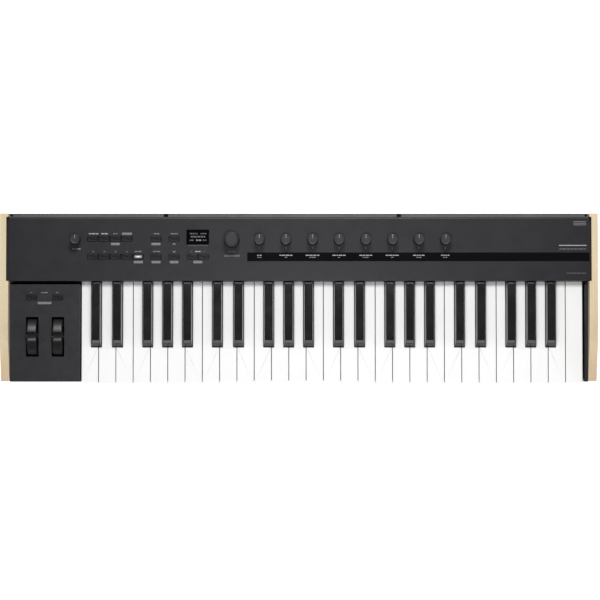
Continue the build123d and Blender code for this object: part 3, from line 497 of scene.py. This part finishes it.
# ------------------------------------------------------------------ white and black keys
PITCH, GAP = 23.5, 0.9
FRONT, HEAD, NECK_END, TAIL = -115.0, -66.4, 60.0, 92.0
KEY_TOP, SKIRT, LIP = 48.0, 36.0, 28.0
NOTCH = 14.8
SHIFTS = {"cs": (1, -2.9), "ds": (2, 2.3), "fs": (4, -3.7), "gs": (5, -0.1), "as": (6, 3.4)}
WHITES = ["c", "d", "e", "f", "g", "a", "b"]


def neck(name):
    i = WHITES.index(name)
    a, b = GAP / 2, PITCH - GAP / 2
    for gap, shift in SHIFTS.values():
        if gap == i:
            a = shift + NOTCH / 2
        if gap == i + 1:
            b = PITCH + shift - NOTCH / 2
    return a, b


def white_key(name, full=False):
    """Hollow white key, left boundary at x = 0."""
    x0, x1 = GAP / 2, PITCH - GAP / 2
    a, b = (x0, x1) if full else neck(name)
    pts, rad = [(x0, FRONT), (x1, FRONT)], [1.1, 1.1]
    if b < x1 - 0.01:
        pts += [(x1, HEAD), (b, HEAD), (b, NECK_END)]
        rad += [0.7, 0.7, 0.0]
    else:
        pts += [(x1, NECK_END)]
        rad += [0.0]
    if a > x0 + 0.01:
        pts += [(a, NECK_END), (a, HEAD), (x0, HEAD)]
        rad += [0.0, 0.7, 0.7]
    else:
        pts += [(x0, NECK_END)]
        rad += [0.0]
    outline = rounded(pts, rad, 5)
    s = Shell()
    r = 0.7
    levels = [(0.12, SKIRT), (0.0, SKIRT + 0.15), (0.0, KEY_TOP - r)]
    for k in range(1, 5):
        t = math.pi / 2 * k / 4
        levels.append((r * (1 - math.cos(t)), KEY_TOP - r + r * math.sin(t)))
    levels.append((r + 0.25, KEY_TOP))
    rings = [s.ring([(x, y, z) for x, y in inset(outline, d)]) for d, z in levels]
    for p, q in zip(rings, rings[1:]):
        s.bridge(p, q)
    s.cap(rings[-1])
    inner = [s.ring([(x, y, z) for x, y in inset(outline, d)]) for d, z in ((1.7, SKIRT), (1.75, KEY_TOP - 3.0), (2.2, KEY_TOP - 2.6))]
    s.bridge(inner[0], rings[0])
    for p, q in zip(inner, inner[1:]):
        s.bridge(q, p)
    s.cap(inner[-1], flip=True)
    # front lip that hangs below the skirt: a U in plan, as thick as the walls
    u = rounded([(x0, FRONT + 6), (x0, FRONT), (x1, FRONT), (x1, FRONT + 6), (x1 - 1.8, FRONT + 6), (x1 - 1.8, FRONT + 2), (x0 + 1.8, FRONT + 2), (x0 + 1.8, FRONT + 6)],
                [0.0, 1.1, 1.1, 0.0, 0.0, 0.5, 0.5, 0.0], 5)
    lip = [s.ring([(x, y, z) for x, y in inset(u, d)]) for d, z in ((0.3, LIP), (0.09, LIP + 0.09), (0.0, LIP + 0.3), (0.0, SKIRT + 0.15), (0.12, SKIRT + 0.5))]
    s.cap(lip[0], flip=True)
    for p, q in zip(lip, lip[1:]):
        s.bridge(p, q)
    s.cap(lip[-1])
    # plunger and rear shank
    cx = (a + b) / 2
    prism(s, rounded(rect(cx - 3, -20, cx + 3, -12), 0.8, 3), 27.8, KEY_TOP - 2.0, 0.0, base_bevel=0.5)
    prism(s, rounded(rect(cx - 4.5, 52.0, cx + 4.5, TAIL), 0.6, 3), 27.3, 40.0, 0.4, base_bevel=0.4)
    return s


def black_key():
    """Black key, centre line at x = 0: crowned top, leaning sides, stepped nose."""
    hw, ht = 6.85, 5.3
    slope = (hw - ht) / 11.0
    top = [(21.7, 58.6), (21.55, 59.3), (21.1, 59.8), (20.4, 60.0), (12.0, 60.0), (-20.0, 60.0), (-50.0, 60.0), (-55.4, 60.0), (-56.1, 59.85), (-56.7, 59.5),
           (-58.6, 58.2), (-60.3, 57.0), (-60.9, 56.4), (-61.5, 55.5), (-63.6, 51.9), (-64.4, 50.6), (-65.0, 49.4)]
    low = 42.0
    s = Shell()
    rings = []
    for y, z in top:
        r = 1.15 if z > 55 else 0.9

        def half(h):
            return hw - slope * max(0.0, h - 49.0)
        pts = [(-hw, low), (-hw, min(46.0, z - r - 1.0)), (-half(min(49.0, z - r - 0.3)), min(49.0, z - r - 0.3)), (-half(z - r), z - r)]
        for k in range(1, 6):
            t = math.pi / 2 * k / 6
            pts.append((-(half(z - r) - r * 0.95 * (1 - math.cos(t))), z - r + r * math.sin(t)))
        pts.append((-(half(z - r) - r * 0.95), z))
        pts.append((-(half(z - r) - r * 0.95) * 0.55, z + 0.0))
        pts += [(-x, h) for x, h in reversed(pts)]
        rings.append(s.ring([(x, y, h) for x, h in pts]))
    for p, q in zip(rings, rings[1:]):
        s.bridge(p, q)
    s.cap(rings[0], flip=True)
    s.cap(rings[-1])
    # lower body back under the panel, plunger and shank
    prism(s, rounded(rect(-hw + 0.02, -64.9, hw - 0.02, NECK_END), 0.6, 3), 38.0, 47.4, 0.3, base_bevel=0.4)
    prism(s, rounded(rect(-3, -20, 3, -12), 0.8, 3), 27.8, 40.0, 0.0, base_bevel=0.5)
    prism(s, rounded(rect(-4.5, 52.0, 4.5, TAIL), 0.6, 3), 27.3, 40.0, 0.4, base_bevel=0.4)
    return s


def moved(s, dx):
    t = Shell()
    t.v = [(x + dx, y, z) for x, y, z in s.v]
    t.f, t.m = list(s.f), list(s.m)
    return t


white_shapes = {n: white_key(n) for n in WHITES}
top_c = white_key("c", full=True)
black_shape = black_key()
for node in sorted(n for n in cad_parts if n.startswith("keys_")):
    lo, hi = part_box(node)
    notes = node.split("_")[1:]
    name = notes[0][:-1]
    for note in notes:
        octave = int(note[-1])
        steps = (octave - int(notes[0][-1])) * 7 * PITCH
        if name in SHIFTS:
            shell = moved(black_shape, lo.x * 1000 + 6.85 + steps)
            shell.build("black_key_" + note, ["black_key"], node, "black_key", [node], angle=28)
        else:
            shape = top_c if octave == 5 else white_shapes[name]
            shell = moved(shape, lo.x * 1000 - GAP / 2 + steps)
            shell.build("white_key_" + note, ["white_key"], node, "white_key", [node])


# ------------------------------------------------------------------ knobs
def centre(node):
    lo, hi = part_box(node)
    return (lo.x + hi.x) * 500, (lo.y + hi.y) * 500, lo.z * 1000, hi.z * 1000


def knob(node, r_top, r_base, grips, pointer_len):
    cx, cy, _, top = centre(node)
    base = 64.4
    s = Shell()

    def grip(a, r, z):
        if z < base + 1.6 or z > top - 1.0 or r < r_top - 0.2:
            return r
        return r - 0.28 * max(0.0, math.cos(a * grips)) ** 3
    prof = [(0, base + 0.9), (r_base - 1.4, base + 0.9), (r_base - 1.3, base), (r_base - 0.25, base), (r_base, base + 0.25), (r_base, base + 1.1),
            (r_base - 0.15, base + 1.45), (r_base - 0.3, base + 1.8), (r_base - 0.42, base + 5.0), (r_top + 0.32, top - 2.6), (r_top + 0.26, top - 1.15),
            (r_top + 0.1, top - 0.55), (r_top - 0.2, top - 0.16), (r_top - 0.6, top), (r_top - 0.95, top - 0.04), (r_top - 1.2, top - 0.16), (r_top - 2.6, top - 0.24), (0, top - 0.26)]
    mats = [0] * 10 + [1] * 7
    lathe(s, prof, cx, cy, 96, mats, grip)
    # inlaid pointer, set into the cap and running over its edge
    prism(s, rounded(rect(cx - 0.5, cy + r_top - pointer_len, cx + 0.5, cy + r_top - 0.15), 0.25, 3), top - 1.2, top + 0.0, 0.12, mat=2)
    # shaft below the cap
    lathe(s, [(0, 58.6), (2.7, 58.6), (2.95, 58.85), (2.95, base + 1.2), (0, base + 1.2)], cx, cy, 32)
    s.build(node + "_turned", ["knob", "knob_cap", "pointer"], node, "knob_plastic", [node], angle=40)


for i in range(8):
    knob("knob_%d" % (i + 1), 6.8, 7.5, 12, 5.4)
knob("volume_knob", 6.2, 7.0, 11, 4.8)


def encoder(node):
    cx, cy, _, top = centre(node)
    base = 64.4
    s = Shell()

    def grip(a, r, z):
        if z < base + 1.8 or z > top - 1.9 or r < 9.8:
            return r
        return r - 0.22 * (0.5 + 0.5 * math.cos(a * 44))
    prof = [(0, base + 0.9), (9.4, base + 0.9), (9.5, base), (10.65, base), (10.9, base + 0.25), (10.9, base + 1.2), (10.75, base + 1.7), (10.68, base + 2.1),
            (10.5, base + 7.0), (10.36, top - 2.3), (10.3, top - 1.8), (10.22, top - 1.25), (9.98, top - 0.62), (9.6, top - 0.18), (9.2, top), (8.95, top - 0.04),
            (8.78, top - 0.2), (8.7, top - 0.75), (8.05, top - 0.8), (7.95, top - 0.35), (7.7, top - 0.2), (7.2, top - 0.17), (0, top - 0.2)]
    mats = [0] * 9 + [1] * 7 + [0] * 3 + [2] * 3
    lathe(s, prof, cx, cy, 176, mats, grip)
    lathe(s, [(0, 58.6), (2.7, 58.6), (2.95, 58.85), (2.95, base + 1.2), (0, base + 1.2)], cx, cy, 32)
    s.build(node + "_turned", ["knob", "encoder_cap", "knob_cap"], node, "knob_plastic", [node], angle=40)


encoder("value_encoder")


# ------------------------------------------------------------------ pitch and modulation wheels
def wheel(node):
    lo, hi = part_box(node)
    x0, x1 = lo.x * 1000, hi.x * 1000
    cy, cz, R = -52.0, 38.0, 28.0
    seg = 220
    nc, nr = R + 5.0, 8.6

    def rim(a, r):
        """Radius at angle a from straight up, with the finger notch cut in."""
        if abs(a) > 0.6:
            return r
        # the ray at angle a meets the notch's circle
        c = math.cos(a)
        disc = nc * nc * c * c - (nc * nc - nr * nr)
        if disc <= 0:
            return r
        cut = nc * c - math.sqrt(disc)
        if cut >= R:
            return r
        soft = R - cut
        return r - soft
    # section across the wheel: (x, radius)
    sec = [(x0 + 3.2, 0.0), (x0 + 3.2, 6.0), (x0 + 0.2, 6.3), (x0 + 0.0, 6.8), (x0 + 0.0, 7.6), (x0 + 0.3, 8.0), (x0 + 2.6, 8.6), (x0 + 2.6, 17.2), (x0 + 0.3, 18.0), (x0, 18.6),
           (x0, R - 1.6), (x0 + 0.12, R - 1.0), (x0 + 0.45, R - 0.45), (x0 + 1.0, R - 0.12), (x0 + 1.6, R)]
    half = list(sec)
    mid = [(x0 + (x1 - x0) * k / 6, R + 0.0) for k in range(2, 5)]
    other = [(x0 + x1 - x, r) for x, r in reversed(half)]
    sec = half + mid + other
    s = Shell()
    angles = sorted({round(2 * math.pi * k / seg - math.pi, 6) for k in range(seg)} | {round(-0.34 + 0.68 * k / 60, 6) for k in range(61)})
    columns = []
    for x, r in sec:
        if r < 1e-6:
            columns.append(len(s.v))
            s.v.append((x, cy, cz))
            continue
        pts = []
        for a in angles:
            rr = rim(a, r) if r > 17.5 else r
            if 17.5 < r < R - 2 and rr != r:
                rr = min(r, rr + (R - 1.6 - r) * 0.0)
            pts.append((x, cy + max(rr, 1) * math.sin(a), cz + max(rr, 1) * math.cos(a)))
        columns.append(s.ring(pts))
    for p, q in zip(columns, columns[1:]):
        if isinstance(p, int):
            s.fan(q, p, flip=True)
        elif isinstance(q, int):
            s.fan(p, q)
        else:
            s.bridge(p, q)
    s.build(node + "_turned", ["wheel"], node, "wheel_plastic", [node], angle=34)


wheel("pitch_wheel")
wheel("mod_wheel")


# ------------------------------------------------------------------ button caps
CAP_W, CAP_D = 14.0, 6.5


def caps(node, centres, top, web, lit=None):
    s = Shell()
    for cx, cy in centres:
        outline = rounded(rect(cx - CAP_W / 2, cy - CAP_D / 2, cx + CAP_W / 2, cy + CAP_D / 2), 1.0, 5)
        # rounded shoulder, then a shallow dish in the top
        r = 0.55
        levels = [(0.0, web + 1.0), (0.0, top - r)]
        for k in range(1, 5):
            t = math.pi / 2 * k / 4
            levels.append((r * (1 - math.cos(t)), top - r + r * math.sin(t)))
        levels += [(0.8, top), (1.05, top - 0.08), (1.5, top - 0.16)]
        rings = [s.ring([(x, y, z) for x, y in inset(outline, d)]) for d, z in levels]
        s.cap(rings[0], flip=True)
        for p, q in zip(rings, rings[1:]):
            s.bridge(p, q)
        s.cap(rings[-1])
    ys = sorted({c[1] for c in centres})
    for y in ys:
        xs = [c[0] for c in centres if c[1] == y]
        prism(s, rounded(rect(min(xs) - 8.2, y - 4.45, max(xs) + 8.2, y + 4.45), 1.0, 3), web, web + 1.5, 0.2)
    if len(ys) > 1:
        mx = sum(c[0] for c in centres) / len(centres)
        prism(s, rect(mx - 3, ys[0] + 3, mx + 3, ys[1] - 3), web + 0.02, web + 1.45, 0.2)
    s.build(node + "_caps", ["button"], node, "button_plastic", [node], angle=40)
    if lit:
        cx, cy = lit
        g = Shell()
        prism(g, rounded(rect(cx - 5.2, cy - 1.75, cx + 5.2, cy + 1.75), 0.8, 5), top - 0.9, top + 0.02, 0.15)
        g.build(node + "_lens", ["glow"], node, "print_white")


ROW_U, ROW_L = 80.6, 56.3
UPPER = (-279.1, -263.65, -248.2, -232.75)
LOWER = (-279.1, -263.65, -248.2, -232.75, -217.3)
BLOCK = (-193.3, -168.9)
PAGE = (-144.2, -128.8)
OCTAVE = (-362.2, -327.0)
caps("upper_button_row", [(x, ROW_U) for x in UPPER], 65.1, 59.6)
caps("lower_button_row", [(x, ROW_L) for x in LOWER], 65.1, 59.6, lit=(LOWER[-1], ROW_L))
caps("centre_button_block", [(x, y) for x in BLOCK for y in (ROW_U, ROW_L)], 65.1, 59.6)
caps("page_button_pair", [(x, ROW_L) for x in PAGE], 65.1, 59.6)
o_lo, o_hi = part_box("octave_button_pair")
caps("octave_button_pair", [(x, 1.3) for x in OCTAVE], o_hi.z * 1000, o_lo.z * 1000)


# ------------------------------------------------------------------ printed marks
def block_z(y):
    return 50.4 + (58.0 - 50.4) * (y + 113.0) / (19.5 + 113.0)


def bar(s, x0, x1, y, h=1.3, z=64.0, mat=0, r=0.35, slope=False):
    if slope:
        def place(px, py, pz):
            return px, py, pz - z + block_z(py)
    else:
        place = None
    prism(s, rounded(rect(x0, y - h / 2, x1, y + h / 2), min(r, h / 2 - 0.02, (x1 - x0) / 2 - 0.02), 3), z - 0.05, z + 0.05, 0.0, mat=mat, plane=place)


def words(s, x0, x1, y, h=1.2, z=64.0, mat=0, parts=3, slope=False):
    """A label drawn as plain dashes of uneven length, with no letters."""
    rnd = random.Random(round(x0 * 13 + y * 7))
    total = x1 - x0
    gaps = parts - 1
    weights = [0.6 + rnd.random() for _ in range(parts)]
    room = total - gaps * 0.7
    x = x0
    for w in weights:
        L = room * w / sum(weights)
        bar(s, x, x + L, y, h, z, mat, slope=slope)
        x += L + 0.7


def arrow(s, cx, cy, w, h, z=64.0, mat=0, up=True):
    k = 1 if up else -1
    pts = [(cx - w / 2, cy - k * h / 2), (cx - w / 2 + 0.75, cy - k * h / 2), (cx, cy + k * (h / 2 - 0.85)), (cx + w / 2 - 0.75, cy - k * h / 2), (cx + w / 2, cy - k * h / 2), (cx, cy + k * h / 2)]
    if not up:
        pts = list(reversed(pts))
    prism(s, pts, z - 0.05, z + 0.05, 0.0, mat=mat)


def digit(text, cx, cy, size, z, material):
    curve = bpy.data.curves.new("digit", "FONT")
    curve.body = text
    curve.size = size * MM
    curve.align_x, curve.align_y = "CENTER", "CENTER"
    curve.extrude = 0.00004
    tmp = bpy.data.objects.new("digit", curve)
    scene.collection.objects.link(tmp)
    bpy.context.view_layer.update()
    mesh = bpy.data.meshes.new_from_object(tmp.evaluated_get(bpy.context.evaluated_depsgraph_get()))
    bpy.data.objects.remove(tmp)
    mesh.transform(Matrix.Translation((cx * MM, cy * MM, z * MM)))
    mesh.materials.clear()
    mesh.materials.append(M[material])
    o = bpy.data.objects.new("dial_number_" + text, mesh)
    scene.collection.objects.link(o)
    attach(o, "frame")


marks = Shell()          # 0 white, 1 grey, 2 dim
words(marks, -284.4, -271.4, 87.4, 1.5, mat=0, parts=3)
words(marks, -267.4, -258.6, 87.4, 1.5, mat=0, parts=2)
words(marks, -251.0, -245.6, 87.4, 1.3, mat=1, parts=2)
bar(marks, -239.4, -225.9, 87.4, 3.0, mat=1, r=0.6)
bar(marks, -254.4, -242.4, 73.5, 3.4, mat=1, r=0.8)
for x in (-278.3, -263.0, -247.9, -232.7):
    arrow(marks, x, 63.2, 3.2, 2.2, mat=1)
words(marks, -222.2, -212.9, 63.3, 1.4, mat=1, parts=2)
words(marks, -306.4, -302.2, 66.8, 1.3, mat=1, parts=2)
words(marks, -300.8, -295.6, 66.8, 1.3, mat=0, parts=2)
words(marks, -196.2, -189.0, 87.4, 1.5, mat=1, parts=2)
words(marks, -173.4, -164.2, 87.4, 1.5, mat=1, parts=3)
words(marks, -197.4, -187.8, 63.3, 1.4, mat=1, parts=3)
arrow(marks, -168.9, 73.7, 4.4, 2.7, mat=0, up=True)
arrow(marks, -168.8, 62.8, 4.4, 2.7, mat=0, up=False)
for x0, x1, y in ((-199.6, -187.3, 73.5), (-223.5, -211.0, 49.0), (-199.4, -187.1, 49.0), (-174.7, -163.0, 49.0), (-142.8, -130.6, 49.0)):
    bar(marks, x0, x1, y, 3.4, mat=1, r=0.8)
bar(marks, -150.6, -122.9, 71.2, 0.55, mat=2, r=0.2)
arrow(marks, -145.8, 63.2, 2.6, 1.9, mat=2)
words(marks, -140.3, -133.2, 63.3, 1.5, mat=0, parts=2)
arrow(marks, -128.3, 63.2, 2.6, 1.9, mat=2, up=False)
words(marks, -95.5, -85.2, 63.1, 1.5, mat=2, parts=2)
bar(marks, -101.0, -80.1, 57.5, 2.5, mat=2, r=0.5)
# small plain ornaments where a maker would put its own marks
bar(marks, 371.5, 389.0, 99.4, 0.9, mat=1, r=0.3)
bar(marks, 371.5, 389.0, 101.6, 0.9, mat=1, r=0.3)
bar(marks, 371.5, 389.0, 103.8, 0.9, mat=1, r=0.3)
bar(marks, 352.0, 389.5, 71.6, 1.3, mat=0, r=0.4)
words(marks, 352.5, 388.5, 66.7, 0.9, mat=1, parts=7)
words(marks, 362.5, 388.5, 34.0, 1.0, mat=2, parts=5)
marks.build("panel_marks", ["print", "print_grey", "print_dim"], "frame", "print_white", weighted=False)

strip_marks = Shell()
line_one = (6.2, 17.6, 18.6, 17.8, 17.4, 17.8, 15.6, 11.4)
line_two = (5.4, 3.2, 8.8, 2.8, 7.8, 3.2, 7.0, 5.6)
for i, x in enumerate((-53.3, -17.4, 18.5, 54.4, 90.5, 126.4, 162.2, 198.1)):
    words(strip_marks, x - line_one[i] / 2, x + line_one[i] / 2, 58.2, 1.35, 64.1, 0, 4 if line_one[i] > 10 else 2)
    words(strip_marks, x - line_two[i] / 2, x + line_two[i] / 2, 55.4, 1.1, 64.1, 1, 2 if line_two[i] > 5 else 1)
    digit(str(i + 1), x, 67.9, 3.0, 64.02, "print")
strip_marks.build("strip_marks", ["print", "print_grey"], "frame", "print_white", weighted=False)

block_marks = Shell()
bar(block_marks, -364.4, -361.6, 7.9, 0.7, mat=1, slope=True, r=0.2)
words(block_marks, -349.6, -340.4, 7.9, 1.4, mat=1, parts=2, slope=True)
bar(block_marks, -329.2, -326.2, 7.9, 0.7, mat=1, slope=True, r=0.2)
bar(block_marks, -328.05, -327.35, 7.9, 2.6, mat=1, slope=True, r=0.2)
bar(block_marks, -354.2, -335.4, -6.2, 3.2, mat=1, slope=True, r=0.8)
block_marks.build("wheel_block_marks", ["print", "print_grey", "print_dim"], "frame", "print_white", weighted=False)

# lit segments of the display
lcd = Shell()
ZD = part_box("display_window")[1].z * 1000
for x0, x1, y, h, m, n in ((-147.6, -137.2, 87.6, 1.6, 0, 4), (-133.2, -125.2, 87.6, 1.5, 0, 3), (-146.4, -126.6, 83.4, 2.1, 0, 6),
                           (-148.0, -142.6, 78.6, 1.7, 0, 2), (-139.2, -132.0, 78.6, 1.9, 1, 2), (-129.8, -125.2, 78.6, 1.6, 0, 2)):
    words(lcd, x0, x1, y, h, ZD, m, n)
lcd.build("display_segments", ["pixels", "pixels_bright"], "frame", "display_glass", weighted=False)


# ------------------------------------------------------------------ carried-over CAD nodes
def dress(node, material, bevel=0.0, segs=2, angle=35):
    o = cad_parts[node]
    if not o.material_slots:
        o.data.materials.append(M[material])
    for slot_ in o.material_slots:
        slot_.material = M[material]
    if bevel:
        weld = o.modifiers.new("weld", "WELD")
        weld.merge_threshold = 0.00001
        b = o.modifiers.new("edge", "BEVEL")
        b.width = bevel * MM
        b.segments = segs
        b.limit_method = "ANGLE"
        b.angle_limit = math.radians(angle)
        b.use_clamp_overlap = True
        w = o.modifiers.new("weighted_normals", "WEIGHTED_NORMAL")
        w.keep_sharp = False
        w.weight = 60


dress("top_panel", "panel")
dress("wheel_panel", "block")
dress("right_end_block", "block", 0.4)
dress("bottom_case", "case")
dress("left_cheek", "wood_l", 0.9, 3)
dress("right_cheek", "wood_r", 0.9, 3)
dress("rear_rail", "rail", 0.3)
dress("label_strip", "strip")
dress("display_window", "glass")
dress("key_chassis", "chassis")
dress("key_pivot_rod", "bright")
dress("key_springs", "bright")
dress("key_felts", "felt")
dress("contact_board", "board")
dress("panel_board", "board")
dress("wheel_bracket", "steel")
dress("rear_jacks", "jack")
dress("rubber_feet", "rubber")
dress("case_screws", "screw")

# ------------------------------------------------------------------ floor, world and lights
floor_mat = Nodes("studio_floor")
floor_noise = floor_mat.noise(1.2, 3.0, 0.5)
fm = floor_mat.mix(floor_mat.spread(floor_noise, "Fac", 0.0, 1.0), "Result", (0.90, 0.90, 0.90), (0.93, 0.93, 0.93))
floor_mat.tree.links.new(fm.outputs[2], floor_mat.bsdf.inputs["Base Color"])
floor_mat.bsdf.inputs["Roughness"].default_value = 0.9
floor_mat.bsdf.inputs["Specular IOR Level"].default_value = 0.0
floor_mat.bsdf.inputs["Emission Color"].default_value = (1, 1, 1, 1)
floor_mat.bsdf.inputs["Emission Strength"].default_value = 1.0
bm = bmesh.new()
bmesh.ops.create_grid(bm, x_segments=8, y_segments=8, size=6.0)
fmesh = bpy.data.meshes.new("floor")
bm.to_mesh(fmesh)
bm.free()
fmesh.materials.append(floor_mat.mat)
floor = bpy.data.objects.new("floor", fmesh)
scene.collection.objects.link(floor)

world = bpy.data.worlds.new("studio")
world.use_nodes = True
world.node_tree.nodes["Background"].inputs[0].default_value = (1, 1, 1, 1)
world.node_tree.nodes["Background"].inputs[1].default_value = 0.24
scene.world = world


def area(name, loc, aim, size_x, size_y, radiance, colour=(1, 1, 1)):
    """Soft box facing aim. radiance is the brightness of its face."""
    data = bpy.data.lights.new(name, "AREA")
    data.shape = "RECTANGLE"
    data.size, data.size_y = size_x, size_y
    data.energy = radiance * math.pi * size_x * size_y
    data.color = colour
    o = bpy.data.objects.new(name, data)
    scene.collection.objects.link(o)
    o.location = loc
    d = Vector(aim) - Vector(loc)
    o.rotation_euler = d.to_track_quat("-Z", "Y").to_euler()
    o.visible_camera = False
    return o


def only(light, objects, name):
    """Let one light reach these objects alone."""
    group = bpy.data.collections.new(name)
    for o in objects:
        group.objects.link(o)
    light.light_linking.receiver_collection = group


# one box behind and above makes the short shadows; the rest only fill
meshes = [o for o in scene.objects if o.type == "MESH"]
white = [o for o in meshes if o.name.startswith("white_key")]
black = [o for o in meshes if o.name.startswith("black_key")]
pale = white + [o for o in meshes if "cheek" in o.name or o.name == floor.name]
wheels = [o for o in meshes if "wheel_turned" in o.name]
knobs = [o for o in meshes if "turned" in o.name and o not in wheels]
shades = [o for o in meshes if o not in pale]
panels = [o for o in shades if o not in black and o not in wheels and not o.name.startswith("keys_")]

area("main_box", (0.05, 0.68, 1.64), (0.03, 0.0, 0.05), 1.0, 0.46, 15.9)
only(bpy.data.objects["main_box"], pale + black, "main_pieces")
area("panel_box", (0.03, 1.22, 1.42), (0.02, 0.0, 0.05), 0.60, 0.40, 49.0)
only(bpy.data.objects["panel_box"], panels, "panel_pieces")
area("rake_box", (0.1, 2.3, 2.0), (0.0, 0.05, 0.05), 2.0, 0.7, 20.0)
only(bpy.data.objects["rake_box"], wheels + [o for o in meshes if o.name == "rear_rail"], "raked_pieces")
area("sheen_box", (0.02, -0.22, 1.12), (0.02, 0.02, 0.05), 0.34, 0.22, 13.0)
only(bpy.data.objects["sheen_box"], panels, "sheen_pieces")
area("fill_box", (0.0, -0.75, 1.8), (0.0, -0.02, 0.05), 1.8, 0.8, 2.25)
only(bpy.data.objects["fill_box"], [o for o in pale if o.name != floor.name], "filled_pieces")
area("front_box", (0.0, -2.4, 0.9), (0.0, -0.1, 0.05), 2.6, 0.7, 3.6)
only(bpy.data.objects["front_box"], [o for o in meshes if o not in wheels], "front_pieces")
area("right_box", (2.6, 0.1, 0.9), (0.2, 0.0, 0.05), 1.6, 0.8, 1.6)
area("left_box", (-2.6, 0.1, 0.9), (-0.2, 0.0, 0.05), 1.6, 0.8, 1.0)
